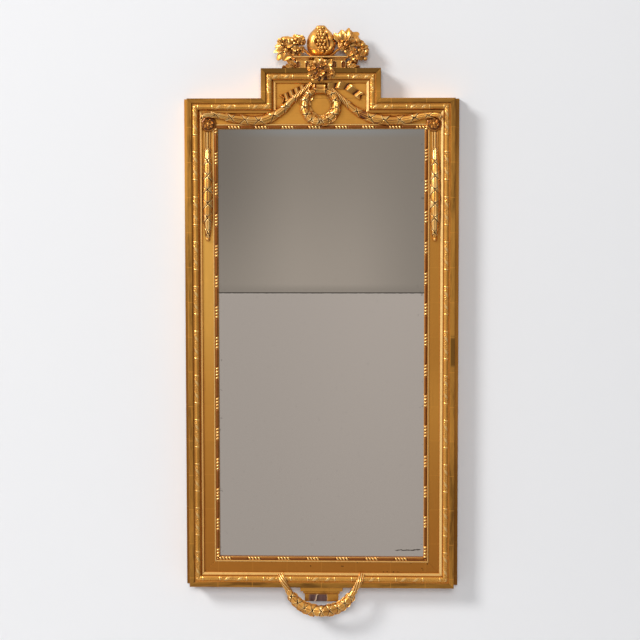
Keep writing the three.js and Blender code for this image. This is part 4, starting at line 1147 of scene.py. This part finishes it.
class PIERMIRROR_OT_wreath(bpy.types.Operator):
    """Carve the wreath over the glass"""

    bl_idname = "pier_mirror.wreath"
    bl_label = "Carve Wreath"

    def execute(self, context):
        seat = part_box("wreath")[1].y
        (centre_x, centre_z), (wide, tall) = ([at * MM for at in pair] for pair in (WREATH_MIDDLE, WREATH_REACH))
        carving = Carving()
        for hand in (-1, 1):
            turn = np.radians(np.linspace(97, -91, 16))
            rope = Rope(
                [(centre_x + hand * wide * math.cos(a), seat, centre_z + tall * math.sin(a)) for a in turn],
                [(0, 12), (0.2, 15), (0.5, 19), (0.85, 20.5), (1, 17)],
                [(0, 7.5), (0.3, 9), (0.6, 9.8), (0.9, 8.6), (1, 7)],
            )
            rope.scales(carving, 17 * MM, 4.2 * MM, seed=31 + hand)
            chance = np.random.default_rng(35 + hand)
            for share in (0.22, 0.38, 0.54, 0.70, 0.86):
                for across in (-0.75, 0.75):
                    at = rope.at(share * rope.length + chance.normal(0, 1.5 * MM),
                                 across + chance.uniform(-0.2, 0.2), 0.4 * MM)
                    bead(carving, at, chance.uniform(1.9, 2.6) * MM, seed=int(share * 100))
                    tip = rope.at((share + 0.17) * rope.length, across * 1.5, 2.6 * MM)
                    free_leaf(carving, at, tip - at, Vector((across * hand * 0.3, -1, 0.1)), 21 * MM, 4.6 * MM,
                              cup=0.2, curl=-0.04, thickness=1.5 * MM)
        carving.finish("laurel_wreath", finish_of("carving"), ["wreath"])
        return {"FINISHED"}


# Each ribbon tail: its middle line in x and z, its number of folds, their height and the steep share of a fold.
RIBBON_TAILS = {
    "left": ([(-9, 1160), (-34, 1158), (-58, 1149), (-80, 1137), (-94, 1131)], 7, 5.4, 0.42),
    "right": ([(9, 1160), (36, 1164), (60, 1160), (80, 1147), (97, 1135)], 4, 5.2, 0.30),
}


class PIERMIRROR_OT_bow(bpy.types.Operator):
    """Carve the ribbon: the collar over the wreath and its two tails"""

    bl_idname = "pier_mirror.bow"
    bl_label = "Carve Ribbon"

    def execute(self, context):
        lo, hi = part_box("ribbon_knot")
        collar = Carving()
        u = np.linspace(-1, 1, 29)[:, None]
        across = (lo.x + hi.x) / 2 + 10 * MM * u
        around = np.linspace(0, math.pi, 31)[None, :]
        middle, half, depth = (lo.z + hi.z) / 2 + 3.2 * MM, (hi.z - lo.z) / 2, hi.y - lo.y
        square = np.sign(np.cos(around)) * np.abs(np.cos(around)) ** 0.7
        band = 0.90 + 0.06 * np.abs(u) ** 3 - 0.05 * np.exp(-((np.cos(around) / 0.08) ** 2))
        y = hi.y - depth * band * np.sin(around) ** 0.6
        relief = 0.58 + 0.3 * np.abs(u) ** 3 - 0.5 * np.exp(-((np.cos(around) / 0.09) ** 2)) + 0 * y
        collar.skin(np.stack([across + 0 * y, y, middle + half * square + 0 * y], -1), relief)
        collar.finish("ribbon_collar", finish_of("carving"), ["ribbon_knot"])
        for side, (points, folds, height, lead) in RIBBON_TAILS.items():
            self.tail(side, points, folds, height, lead)
        return {"FINISHED"}

    @staticmethod
    def tail(side, points, folds, height, lead):
        """A flat ribbon pressed into sharp folds, which ends in two curled points."""
        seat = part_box(f"ribbon_tail_{side}")[1].y
        steps = 170
        path, _ = through([(x * MM, seat, z * MM) for x, z in points], steps)
        way = np.gradient(path, axis=0)
        way /= np.linalg.norm(way, axis=1, keepdims=True)
        out = np.array([0.0, -1.0, 0.0])
        across = np.cross(way, out)
        t = np.linspace(0, 1, steps)[:, None]
        v = np.linspace(-1, 1, 17)[None, :]
        half = 8.2 * MM * stops([(0, 0.70), (0.15, 0.95), (0.8, 1), (1, 1.1)], t)
        notch = 8 * MM * (1 - np.abs(v)) * smooth(0.88, 1.0, t)
        turn = np.mod(folds * t * 0.93 + 0.10 * v, 1.0)
        fold = np.where(turn < lead, turn / lead, (1 - turn) / (1 - lead))
        ripple = height * MM * fold**0.8 * smooth(0, 0.06, t)
        curl = 3.2 * MM * smooth(0.86, 1.0, t) * np.abs(v) ** 2
        lift = 1.2 * MM + ripple + curl + 0.5 * MM * np.exp(-((1 - np.abs(v)) / 0.10) ** 2)
        base = path[:, None] + across[:, None] * (v * half)[..., None] - way[:, None] * notch[..., None]
        low = base + out * (0.05 * MM)
        top = base + out * lift[..., None]
        high = -0.08 + fold**0.8 + 0.25 * (np.abs(v) > 0.9)
        carving = Carving()
        carving.skin(np.concatenate([top, low[:, ::-1]], 1), np.concatenate([high, 0 * high], 1))
        carving.finish(f"ribbon_end_{side}", finish_of("carving"), [f"ribbon_tail_{side}"], crease=25)


# The bunch's roses: x and z in millimetres, size, and how far they stand out as a share of the bunch's depth.
ROSES = [(-18, 1203, 14.5, 0.20), (1, 1191, 16.0, 0.28), (20, 1191, 14.0, 0.22), (7, 1211, 12.0, 0.28),
         (-11, 1182, 10.0, 0.22)]
# Its leaves: x and z of the base, the way they point in degrees, and length.
BUNCH_LEAVES = [(-12, 1205, 128, 19), (4, 1204, 98, 22), (14, 1204, 60, 22), (-4, 1207, 112, 22), (-16, 1192, 190, 15),
                (-12, 1184, 232, 14), (2, 1184, 268, 13), (14, 1186, 320, 15), (20, 1196, 12, 13)]


class PIERMIRROR_OT_flower_bunch(bpy.types.Operator):
    """Carve the bunch of flowers on the crest"""

    bl_idname = "pier_mirror.flower_bunch"
    bl_label = "Carve Flower Bunch"

    def execute(self, context):
        lo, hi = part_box("flower_bunch")
        depth = hi.y - lo.y
        x, z = (lo.x + hi.x) / 2, (lo.z + hi.z) / 2
        carving = Carving()
        self.heart(carving, Vector((x, hi.y, z)), (hi.x - lo.x) * 0.36, depth * 0.45, (hi.z - lo.z) * 0.40)
        for leaf_x, leaf_z, turn, length in BUNCH_LEAVES:
            a = math.radians(turn)
            free_leaf(carving, (leaf_x * MM, hi.y - depth * 0.22, leaf_z * MM), (math.cos(a), -0.10, math.sin(a)),
                      (0.2 * math.cos(a), -1, 0.2 * math.sin(a)), length * MM, length * 0.36 * MM, cup=0.3, curl=0.12,
                      lobes=2, ripple=0.6 * MM)
        for k, (rose_x, rose_z, size, stand) in enumerate(ROSES):
            out = Vector(((rose_x * MM - x) * 9, -1, (rose_z * MM - z) * 9))
            rose(carving, Vector((rose_x * MM, hi.y - depth * stand, rose_z * MM)), size * MM, out, k)
        carving.finish("crest_flowers", finish_of("carving"), ["flower_bunch"])
        return {"FINISHED"}

    @staticmethod
    def heart(carving, at, across, depth, upright):
        """The mass of leaves behind the flowers, given a low relief so that it is painted dark as shade."""
        th = np.linspace(0.03, math.pi / 2, 10)[:, None]
        ph = np.linspace(0, 2 * math.pi, 40, endpoint=False)[None, :]
        lobed = 1 + 0.08 * np.cos(7 * ph) * np.sin(th)
        ring = np.stack([at.x + across * lobed * np.sin(th) * np.cos(ph), at.y - depth * np.cos(th) + 0 * ph,
                         at.z + upright * lobed * np.sin(th) * np.sin(ph)], -1)
        carving.skin(ring, 0.05)


PLINTH_HALF = 57 * MM  # half the width of the crest plinth's fluted block
FLUTE_PITCH = 0.021
CORNICE = [(0, 0), (1.2, 0.6), (2.0, 2.6), (3.4, 4.4), (5.6, 5.2), (6.6, 6.0), (6.6, 8.2), (5.8, 9.0)]  # out, up


class PIERMIRROR_OT_crest_plinth(bpy.types.Operator):
    """Carve the crest's plinth: arched flutes under a small cornice, and a leafy scroll at each foot"""

    bl_idname = "pier_mirror.crest_plinth"
    bl_label = "Carve Crest Plinth"

    def execute(self, context):
        lo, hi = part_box("crest_plinth")
        front, back = -lo.y - 8 * MM, -hi.y
        neck = hi.z - 9 * MM
        carving = Carving()
        self.block(carving, lo.z, neck, front, back)
        self.cornice(carving, front, back, neck)
        for hand in (-1, 1):
            self.scroll(carving, hand, lo.z, front - 4 * MM, back + 6 * MM)
        carving.finish("carved_plinth", finish_of("carving"), ["crest_plinth"])
        return {"FINISHED"}

    @staticmethod
    def block(carving, foot, neck, front, back):
        """A block whose face is cut with round-headed flutes that have fine rims."""
        x = np.arange(-PLINTH_HALF, PLINTH_HALF + 0.0002, 0.0006)[:, None]
        z = np.linspace(foot, neck, 40)[None, :]
        near = np.abs(np.mod(x, FLUTE_PITCH) - FLUTE_PITCH / 2)
        top = neck - 6.5 * MM
        reach = np.where(z > top, np.hypot(near, z - top), near)
        niche = smooth(3.7 * MM, 2.2 * MM, reach) * smooth(foot + 1.0 * MM, foot + 2.2 * MM, z)
        rim = np.exp(-(((reach - 4.4 * MM) / (0.8 * MM)) ** 2))
        rise = -4.2 * MM * niche + 0.9 * MM * rim
        face = np.stack([x + 0 * rise, -(front + rise), z + 0 * rise], -1)
        rear = np.stack([x + 0 * rise[:, :2], np.full((len(x), 2), -back),
                         np.broadcast_to([neck, foot], (len(x), 2))], -1)
        relief = np.concatenate([np.maximum(0.6 + rise / (2.2 * MM), 0.20), np.full((len(x), 2), 0.2)], 1)
        carving.skin(np.concatenate([face, rear], 1), relief)

    @staticmethod
    def cornice(carving, front, back, neck):
        """A moulded cap that breaks forward and returns at both ends."""
        rings = []
        for reach, height in CORNICE:
            half, face, z = PLINTH_HALF + reach * MM, -(front + reach * MM), neck + height * MM
            across = [(share * half, face, z) for share in (-1, -0.5, 0, 0.5, 1)]
            rings.append([(-half, -back, z), *across, (half, -back, z)])
        carving.skin(rings, np.linspace(0.3, 0.95, len(CORNICE))[:, None])

    @staticmethod
    def scroll(carving, hand, foot, front, back):
        """A low scroll that falls from the block to a small volute."""
        inner, outer = PLINTH_HALF, 91 * MM
        x = np.linspace(inner, outer, 60)[:, None]
        share = (x - inner) / (outer - inner)
        top = stops([(0, 13.5), (0.25, 10), (0.5, 6.5), (0.72, 5.2), (0.86, 6.6), (0.95, 6.0), (1, 3.0)], share) * MM
        v = np.linspace(0, 1, 15)[None, :]
        z = foot + top * v
        fan = np.cos(2 * math.pi * (3.2 * v + 2.2 * share))
        swell = 2.2 * MM * np.sin(math.pi * np.clip(v, 0.02, 0.98)) * (1 - 0.4 * share) + 0.8 * MM * fan
        face = -(front - 3 * MM + swell)
        rear = np.full_like(face, -back)
        x_all = hand * np.broadcast_to(x, face.shape)
        ring = np.concatenate([np.stack([x_all, face, z], -1), np.stack([x_all, rear, z], -1)[:, ::-1]], 1)
        carving.skin(ring, np.concatenate([0.72 + 0.26 * fan, 0 * fan], 1))
        for k, (at, rise, size, turn) in enumerate(((58, 3.5, 24, 14), (58, 6, 20, 38), (65, 3.5, 20, 4))):
            a = math.radians(turn)
            free_leaf(carving, (hand * at * MM, -(front - 1 * MM + k * 0.6 * MM), foot + rise * MM),
                      (hand * math.cos(a), -0.14, math.sin(a)), (0, -1, 0.3), size * MM, 4.6 * MM, cup=0.35,
                      curl=0.10, lobes=2, thickness=1.8 * MM)


# The beads of the pomegranate's crown: x, height against its head and radius, in millimetres.
CROWN_BEADS = [(-6.5, -6.5, 5.6), (5.2, -6.7, 6.2), (-0.5, -5.9, 5.0), (-1.0, -12.0, 4.6)]


class PIERMIRROR_OT_pomegranate(bpy.types.Operator):
    """Carve the split pomegranate"""

    bl_idname = "pier_mirror.pomegranate"
    bl_label = "Carve Pomegranate"

    def execute(self, context):
        lo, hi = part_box("pomegranate")
        x, y = (lo.x + hi.x) / 2, (lo.y + hi.y) / 2
        carving = Carving()
        self.fruit(carving, x, y, lo, hi)
        self.seeds(carving, x, y, lo, hi)
        for k, (dx, dz, size) in enumerate(CROWN_BEADS):
            bead(carving, (x + dx * MM, y - (4.0 + 1.5 * k) * MM, hi.z + dz * MM), size * MM, seed=k, dimple=0.15,
                 facing=(dx * 0.1, -1, 0.4))
        carving.finish("pomegranate_fruit", finish_of("carving"), ["pomegranate"])
        return {"FINISHED"}

    @staticmethod
    def fruit(carving, x, y, lo, hi):
        """The skin of the fruit, split open in front from crown to foot, with a folded lip."""
        wide, deep, height = (hi.x - lo.x) / 2, (hi.y - lo.y) / 2, hi.z - lo.z
        t = np.linspace(0, 1, 150)[:, None]
        a = np.linspace(0, 2 * math.pi, 200, endpoint=False)[None, :]
        radius = stops(
            [(0, 0.02), (0.004, 0.30), (0.03, 0.48), (0.1, 0.73), (0.2, 0.91), (0.32, 0.99), (0.42, 1.0),
             (0.54, 0.965), (0.66, 0.87), (0.76, 0.73), (0.85, 0.54), (0.9, 0.42), (0.94, 0.36), (0.97, 0.34),
             (0.99, 0.26), (1, 0.02)], t)
        radius = blurred(radius, 3, 0)
        radius[[0, -1]] = 0.02
        px, py, pz = wide * radius * np.cos(a), deep * radius * np.sin(a), height * (t + 0 * a)
        front = smooth(0.02, 0.30, -np.sin(a))
        mid = 4.5 * MM + 3 * MM * np.sin(3.0 * t + 1)
        open_to = stops([(0, 0.3), (0.1, 0.6), (0.35, 1.0), (0.55, 1.0), (0.8, 0.7), (0.92, 0.35), (1, 0.2)], t)
        u = (px - mid) / (20 * MM * open_to)
        w = (pz - height * 0.49) / (height * 0.42)
        angle = np.arctan2(w, u)
        inside = np.hypot(u * 0.95, w) + 0.06 * np.sin(5 * angle + 0.6) + 0.035 * np.sin(11 * angle)
        dig = smooth(1.0, 0.80, inside) * front
        lip = np.exp(-(((inside - 1.05) / 0.09) ** 2)) * front
        long_flap = np.exp(-(((u - 0.55 + 0.22 * w) / 0.10) ** 2))
        short_flap = 0.8 * np.exp(-(((u - 0.12 - 0.30 * w) / 0.08) ** 2)) * smooth(0.1, -0.2, w)
        flap = dig * (long_flap + short_flap)
        ribs = 0.010 * np.cos(9 * a + 4 * t) * (1 - dig) * smooth(0.15, 0.4, t)
        scale = 1 - 0.27 * dig + 0.045 * lip + 0.20 * flap + ribs
        crown = smooth(0.93, 0.985, t) * (0.5 + 0.5 * np.cos(4 * a + 0.5))
        ring = np.stack([x + px * scale, y + py * scale, lo.z + pz - 2.6 * MM * crown], -1)
        carving.skin(ring, 0.42 - 0.34 * dig + 0.40 * lip + 0.55 * flap + 6 * ribs)

    @staticmethod
    def seeds(carving, x, y, lo, hi):
        """Lumpy seeds packed in the split, most of them in its left half."""
        chance = np.random.default_rng(41)
        wide, deep, height = (hi.x - lo.x) / 2, (hi.y - lo.y) / 2, hi.z - lo.z
        for row, share in enumerate(np.linspace(0.17, 0.78, 7)):
            reach = 16.0 * MM * math.sin(math.pi * min(1.0, share / 0.9)) ** 0.6
            mid = 4.5 * MM + 3 * MM * math.sin(3.0 * share + 1)
            count = max(1, round(1.4 * reach / (7.2 * MM)))
            for k in range(count):
                seed_x = mid - reach + 1.45 * reach * (k + 0.5 * (row % 2)) / count + chance.normal(0, 0.4 * MM)
                bulge = math.sqrt(max(0.05, 1 - (seed_x / wide) ** 2 - ((share - 0.42) / 0.62) ** 2))
                seed_z = lo.z + height * share + chance.normal(0, 0.5 * MM)
                bead(carving, (x + seed_x, y - deep * bulge * 0.80, seed_z), (3.9 + chance.uniform(-0.6, 0.7)) * MM,
                     squash=(1, 1, 1.2), dimple=0.12, seed=row * 10 + k)


# The crest's sprays, in millimetres. A leaf: x and z of its base, x and z of its tip, half its width.
# A berry: x, z and radius.
SPRAY_LEFT = (
    [(-58, 1262, -93, 1276, 8), (-66, 1258, -108, 1257, 9), (-78, 1254, -105, 1226, 9), (-66, 1246, -76, 1212, 10),
     (-44, 1258, -64, 1280, 9), (-38, 1258, -50, 1272, 7), (-60, 1258, -82, 1266, 8), (-50, 1252, -66, 1240, 9),
     (-38, 1250, -52, 1246, 7), (-72, 1248, -90, 1236, 9), (-54, 1246, -62, 1224, 8), (-84, 1262, -101, 1266, 7),
     (-46, 1264, -46, 1279, 6)],
    [(-66, 1268, 4.8), (-58.5, 1270, 4.6), (-53, 1264, 4.8), (-61, 1261, 4.4), (-81, 1245, 6.2), (-66, 1247, 5.2),
     (-90, 1252, 4.8)],
)
SPRAY_RIGHT = (
    [(44, 1254, 46, 1292, 11), (46, 1254, 84, 1288, 13), (50, 1256, 66, 1292, 10), (74, 1262, 44, 1263, 7),
     (40, 1252, 58, 1255, 7), (72, 1256, 98, 1266, 8), (84, 1252, 112, 1246, 9), (66, 1250, 78, 1226, 10),
     (84, 1244, 96, 1222, 9), (60, 1252, 74, 1240, 8), (92, 1246, 110, 1234, 8), (76, 1236, 80, 1212, 8),
     (64, 1266, 88, 1272, 8)],
    [(74, 1257, 5.6), (86, 1266.5, 7.0), (98, 1256.5, 6.6), (90, 1244, 5.4), (106, 1241, 6.0), (58, 1241, 5.0),
     (85, 1229, 6.0), (103.5, 1224, 5.0), (79, 1218.5, 5.0), (48, 1257, 5.6)],
)
STALK = [(20, 1232), (30, 1238), (40, 1246), (56, 1252), (72, 1250), (84, 1244)]
LEFT_SPRAY_HEAD = 1.281  # side leaves that would reach higher on the left are left off


class PIERMIRROR_OT_fruit_sprays(bpy.types.Operator):
    """Carve the leafy sprays beside the pomegranate"""

    bl_idname = "pier_mirror.fruit_sprays"
    bl_label = "Carve Fruit Sprays"

    def execute(self, context):
        for side, hand, (leaves, berries) in (("left", -1, SPRAY_LEFT), ("right", 1, SPRAY_RIGHT)):
            lo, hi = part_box(f"fruit_spray_{side}")
            y = (lo.y + hi.y) / 2
            chance = np.random.default_rng(51 + hand)
            carving = Carving()
            stalk, _ = through([(hand * at * MM, y + 3 * MM, z * MM) for at, z in STALK], 40)
            self.stalk(carving, stalk, 3.2 * MM)
            for k, (x, z, tip_x, tip_z, half) in enumerate(leaves):
                tip = Vector(((tip_x - x) * MM, chance.uniform(-6, 0) * MM, (tip_z - z) * MM))
                at = Vector((x * MM, y - (1.0 + 1.3 * (k % 4)) * MM, z * MM))
                free_leaf(carving, at, tip, Vector((-0.35, -1, 0.35)), tip.length, half * 1.35 * MM,
                          cup=0.55 if k % 2 else -0.25, curl=0.22, lobes=3, ripple=0.9 * MM, thickness=2.2 * MM,
                          veins=0.5 * MM, spin=k)
                for turn in (-0.75, 0.7):
                    way = Matrix.Rotation(turn + chance.normal(0, 0.2), 3, "Y") @ tip
                    if side == "left" and at.z + 0.3 * tip.z + 0.58 * way.z > LEFT_SPRAY_HEAD:
                        continue
                    free_leaf(carving, at + tip * 0.30 + Vector((0, -2.4 * MM, 0)),
                              way + Vector((0, -0.25 * tip.length, 0)), Vector((-0.2, -1, 0.3)) - way * 14,
                              tip.length * 0.58, half * 0.72 * MM, cup=0.5, curl=0.45, lobes=2, ripple=0.6 * MM,
                              thickness=1.8 * MM, veins=0.4 * MM, spin=k + turn)
            for k, (x, z, radius) in enumerate(berries):
                bead(carving, (x * MM, y - (5.5 + chance.uniform(0, 2)) * MM, z * MM), radius * MM * 0.92, seed=60 + k,
                     dimple=0.18, facing=(chance.uniform(-0.4, 0.3), -1, chance.uniform(-0.2, 0.5)))
            carving.finish(f"leafy_spray_{side}", finish_of("carving"), [f"fruit_spray_{side}"])
        return {"FINISHED"}

    @staticmethod
    def stalk(carving, path, radius):
        """The stem that the leaves spring from."""
        way = np.gradient(path, axis=0)
        way /= np.linalg.norm(way, axis=1, keepdims=True)
        side = np.cross(way, [0.0, -1.0, 0.0])
        around = np.linspace(0, 2 * math.pi, 14, endpoint=False)
        ring = path[:, None] + radius * (side[:, None] * np.cos(around)[None, :, None]
                                         + np.array([0, -1.0, 0]) * np.sin(around)[None, :, None])
        carving.skin(ring, 0.35)


# Middle line of the swag, in millimetres: x, how far it sinks back towards the moulding, and z.
SWAG = [(-97, 10.5, 9), (-94, 4, 1), (-89, 0, -9), (-80, 0, -25), (-65, 0, -48), (-39, 0, -69), (0, 0, -77),
        (39, 0, -69), (65, 0, -48), (80, 0, -25), (89, 0, -9), (94, 4, 1), (97, 10.5, 9)]


class PIERMIRROR_OT_apron(bpy.types.Operator):
    """Finish the apron's board and carve the laurel swag under the bottom rail"""

    bl_idname = "pier_mirror.apron"
    bl_label = "Carve Apron"

    def execute(self, context):
        g = settings("laurel")
        paint(["apron_plinth"], "apron")
        seat = BAND_FACE + 0.3 * MM
        rope = Rope(
            [(x * MM, -(seat - back * MM), z * MM) for x, back, z in SWAG],
            [(0, 16), (0.08, 15), (0.15, 13), (0.24, 17), (0.36, 22), (0.5, 26), (0.64, 21), (0.76, 16.5), (0.85, 13),
             (0.92, 15), (1, 16)],
            [(0, 4.0), (0.12, 5.2), (0.25, 7.6), (0.5, 10), (0.75, 7.6), (0.88, 5.2), (1, 4.0)],
        )
        carving = Carving()
        for start, end in ((0.0, 0.165), (0.835, 1.0)):
            rope.cords(carving, 4, start, end, 2.0 * MM, twist=0.5)
        for start, end, heading, seed in ((0.15, 0.505, 1, 71), (0.495, 0.85, -1, 72)):
            rope.scales(carving, 20.5 * MM, g.lift * 1.25, start, end, heading, seed, point=1.5, gap=1.3, tone=0.38)
        chance = np.random.default_rng(75)
        for share in (0.19, 0.24, 0.29, 0.34, 0.39, 0.61, 0.66, 0.71, 0.76, 0.81):
            heading = 1 if share < 0.5 else -1
            for across in (-0.95, 1.0):
                at = rope.at(share * rope.length, across + chance.normal(0, 0.08), 0.0)
                tip = rope.at((share + 0.055 * heading) * rope.length, across * 1.25, 2.2 * MM)
                free_leaf(carving, at, tip - at, Vector((0, -1, -0.5 * across)), 19 * MM, 4.4 * MM, cup=0.25,
                          curl=-0.05, thickness=1.5 * MM)
        carving.finish("laurel_swag", finish_of("carving"), ["apron_swag"])
        return {"FINISHED"}


# ---- Studio ----
# The camera as fitted to the picture: place in metres, and turns in degrees about its own axes.
CAMERA_AT = (0.1440, -4.2591, 0.9194)
CAMERA_TURNS = (4.143, -1.992, -0.078)
# Round soft lamps: name, place, the point they face, width, power, and whether they show in reflections.
LAMPS = [("key light", (-5.2, -5.2, 4.6), (0.0, 0.0, 0.6), 2.4, 405, True),
         ("fill light", (0.2, -7.4, 2.6), (0.0, 0.0, 0.5), 2.4, 205, False)]
WALL_BACK = 0.0012  # the wall stands this far behind the mirror's back
WALL_REACH, FLOOR_REACH = 4, 1.5
ROOM_LIGHT = (0.22, 0.22, 0.224, 1)  # what the room gives to matt surfaces
# The room as reflections see it, from low at one side to high at the other.
ROOM_SHADES = [(0.0, 0.10), (0.36, 0.34), (0.46, 0.62), (0.56, 0.62), (0.72, 0.80), (1.0, 0.90)]


class PIERMIRROR_OT_studio(bpy.types.Operator):
    """Set up the wall, floor, soft lights and camera"""

    bl_idname = "pier_mirror.studio"
    bl_label = "Set Up Studio"

    def execute(self, context):
        s = settings("studio")
        floor, left, right = FOOT - s.floor_drop, -WALL_REACH, WALL_REACH
        skirting = [(left, WALL_BACK, floor), (right, WALL_BACK, floor)]
        wall = self.sheet("wall", [*skirting, (right, WALL_BACK, WALL_REACH), (left, WALL_BACK, WALL_REACH)],
                          self.wall_paint(tuple(s.wall)))
        ground = self.sheet("floor", [(left, -FLOOR_REACH, floor), (right, -FLOOR_REACH, floor), *skirting[::-1]],
                            self.floor_paint(tuple(s.wall)))
        for lamp in LAMPS:
            self.lamp(*lamp)
        self.world(context.scene)
        self.camera(context.scene, s.lens)
        context.scene.view_settings.view_transform = "Standard"
        return {"FINISHED"}

    @staticmethod
    def sheet(name, corners, material):
        mesh = bpy.data.meshes.new(name)
        mesh.from_pydata(corners, [], [(0, 1, 2, 3)])
        mesh.materials.append(material)
        piece = bpy.data.objects.new(name, mesh)
        bpy.context.scene.collection.objects.link(piece)
        return piece

    @staticmethod
    def wall_paint(colour):
        """Matt paint that shows from the front only, and never keeps light from the mirror's back."""
        n = Nodes("wall paint")
        shade = n.mix(n.ramp(n.noise(1.3, 2, 0.5), 0.3, 0.7, 0, 0.05), colour, tint(colour, 0.96))
        n.surface(base_color=shade, roughness=0.85)
        path = n.new("ShaderNodeLightPath")
        seen = n.maths("MAXIMUM", path.outputs["Is Camera Ray"], n.maths(
            "MAXIMUM", path.outputs["Is Glossy Ray"], path.outputs["Is Transmission Ray"]))
        facing = n.maths("SUBTRACT", 1.0, n.new("ShaderNodeNewGeometry").outputs["Backfacing"])
        shown = n.blend(n.maths("MULTIPLY", seen, facing), n.new("ShaderNodeBsdfTransparent"), n.shader)
        n.link(shown, n.tree.nodes["Material Output"].inputs["Surface"])
        return n.material

    @staticmethod
    def floor_paint(colour):
        n = Nodes("floor paint")
        shade = n.mix(n.ramp(n.noise(2.0, 2, 0.5), 0.3, 0.7, 0, 0.06), colour, tint(colour, 0.95))
        n.surface(base_color=shade, roughness=0.8)
        return n.material

    @staticmethod
    def lamp(name, at, towards, size, power, mirrored):
        data = bpy.data.lights.new(name, "AREA")
        data.shape, data.size, data.energy = "DISK", size, power
        lamp = bpy.data.objects.new(name, data)
        bpy.context.scene.collection.objects.link(lamp)
        lamp.location = at
        lamp.visible_glossy = mirrored
        lamp.rotation_euler = (Vector(towards) - Vector(at)).to_track_quat("-Z", "Y").to_euler()

    @staticmethod
    def world(scene):
        """A pale grey room in reflections, dimmer as a light on matt surfaces."""
        scene.world = bpy.data.worlds.new("studio")
        scene.world.use_nodes = True
        n = Tree(scene.world.node_tree)
        dim = n.tree.nodes["Background"]
        dim.inputs["Color"].default_value = ROOM_LIGHT
        way = n.new("ShaderNodeTexCoord").outputs["Generated"]
        span = n.new("ShaderNodeMapRange")
        span.inputs["From Min"].default_value, span.inputs["From Max"].default_value = -1.4, 1.4
        n.link(n.maths("SUBTRACT", n.part(way, 2), n.part(way, 0)), span.inputs["Value"])
        shade = n.new("ShaderNodeValToRGB")
        shade.color_ramp.interpolation = "B_SPLINE"
        stops_ = shade.color_ramp.elements
        for at, value in ROOM_SHADES:
            stops_.new(at).color = (value, value, value * 1.01, 1)
        # A new ramp has a stop at each end already, so one of each pair goes.
        stops_.remove(stops_[-1])
        stops_.remove(stops_[0])
        n.link(span.outputs[0], shade.inputs["Fac"])
        room = n.new("ShaderNodeBackground")
        n.link(shade.outputs["Color"], room.inputs["Color"])
        path = n.new("ShaderNodeLightPath")
        seen = n.maths("MAXIMUM", path.outputs["Is Camera Ray"], path.outputs["Is Glossy Ray"])
        n.link(n.blend(seen, dim, room), n.tree.nodes["World Output"].inputs["Surface"])

    @staticmethod
    def camera(scene, lens):
        data = bpy.data.cameras.new("camera")
        data.lens, data.sensor_width = lens, 36
        camera = bpy.data.objects.new("camera", data)
        scene.collection.objects.link(camera)
        tilt, pan, roll = (Matrix.Rotation(math.radians(a), 3, axis) for a, axis in zip(CAMERA_TURNS, "XYZ"))
        facing_wall = Matrix(((1, 0, 0), (0, 0, 1), (0, -1, 0)))
        camera.matrix_world = (roll @ pan @ tilt @ facing_wall).transposed().to_4x4()
        camera.location = CAMERA_AT
        data.clip_start, data.clip_end = 0.05, 60
        scene.camera = camera


OPERATORS = [
    PIERMIRROR_OT_studio, PIERMIRROR_OT_carcass, PIERMIRROR_OT_ribbon_mouldings, PIERMIRROR_OT_sight_beadings,
    PIERMIRROR_OT_plates, PIERMIRROR_OT_backing, PIERMIRROR_OT_hanging_irons, PIERMIRROR_OT_laurel_drops,
    PIERMIRROR_OT_rosettes, PIERMIRROR_OT_garlands, PIERMIRROR_OT_wreath, PIERMIRROR_OT_bow,
    PIERMIRROR_OT_flower_bunch, PIERMIRROR_OT_crest_plinth, PIERMIRROR_OT_pomegranate, PIERMIRROR_OT_fruit_sprays,
    PIERMIRROR_OT_apron,
]


class PIERMIRROR_PT_sidebar(bpy.types.Panel):
    """Lists the mirror's pieces and their settings."""

    bl_idname = "PIERMIRROR_PT_sidebar"
    bl_label = "Pier Mirror"
    bl_space_type = "VIEW_3D"
    bl_region_type = "UI"
    bl_category = "Pier Mirror"

    def draw(self, context):
        for operator in OPERATORS:
            self.layout.operator(operator.bl_idname)
        for kind, group in SETTINGS.items():
            box = self.layout.box()
            box.label(text=kind.capitalize())
            for name in group.__annotations__:
                box.prop(settings(kind), name)


CLASSES = [*SETTINGS.values(), *OPERATORS, PIERMIRROR_PT_sidebar]


def register():
    for cls in CLASSES:
        bpy.utils.register_class(cls)
    for kind, group in SETTINGS.items():
        setattr(bpy.types.Scene, f"pier_mirror_{kind}", PointerProperty(type=group))


def unregister():
    for kind in SETTINGS:
        delattr(bpy.types.Scene, f"pier_mirror_{kind}")
    for cls in reversed(CLASSES):
        bpy.utils.unregister_class(cls)


def main():
    register()
    for operator in OPERATORS:
        group, name = operator.bl_idname.split(".")
        getattr(getattr(bpy.ops, group), name)()


if __name__ == "__main__":
    main()
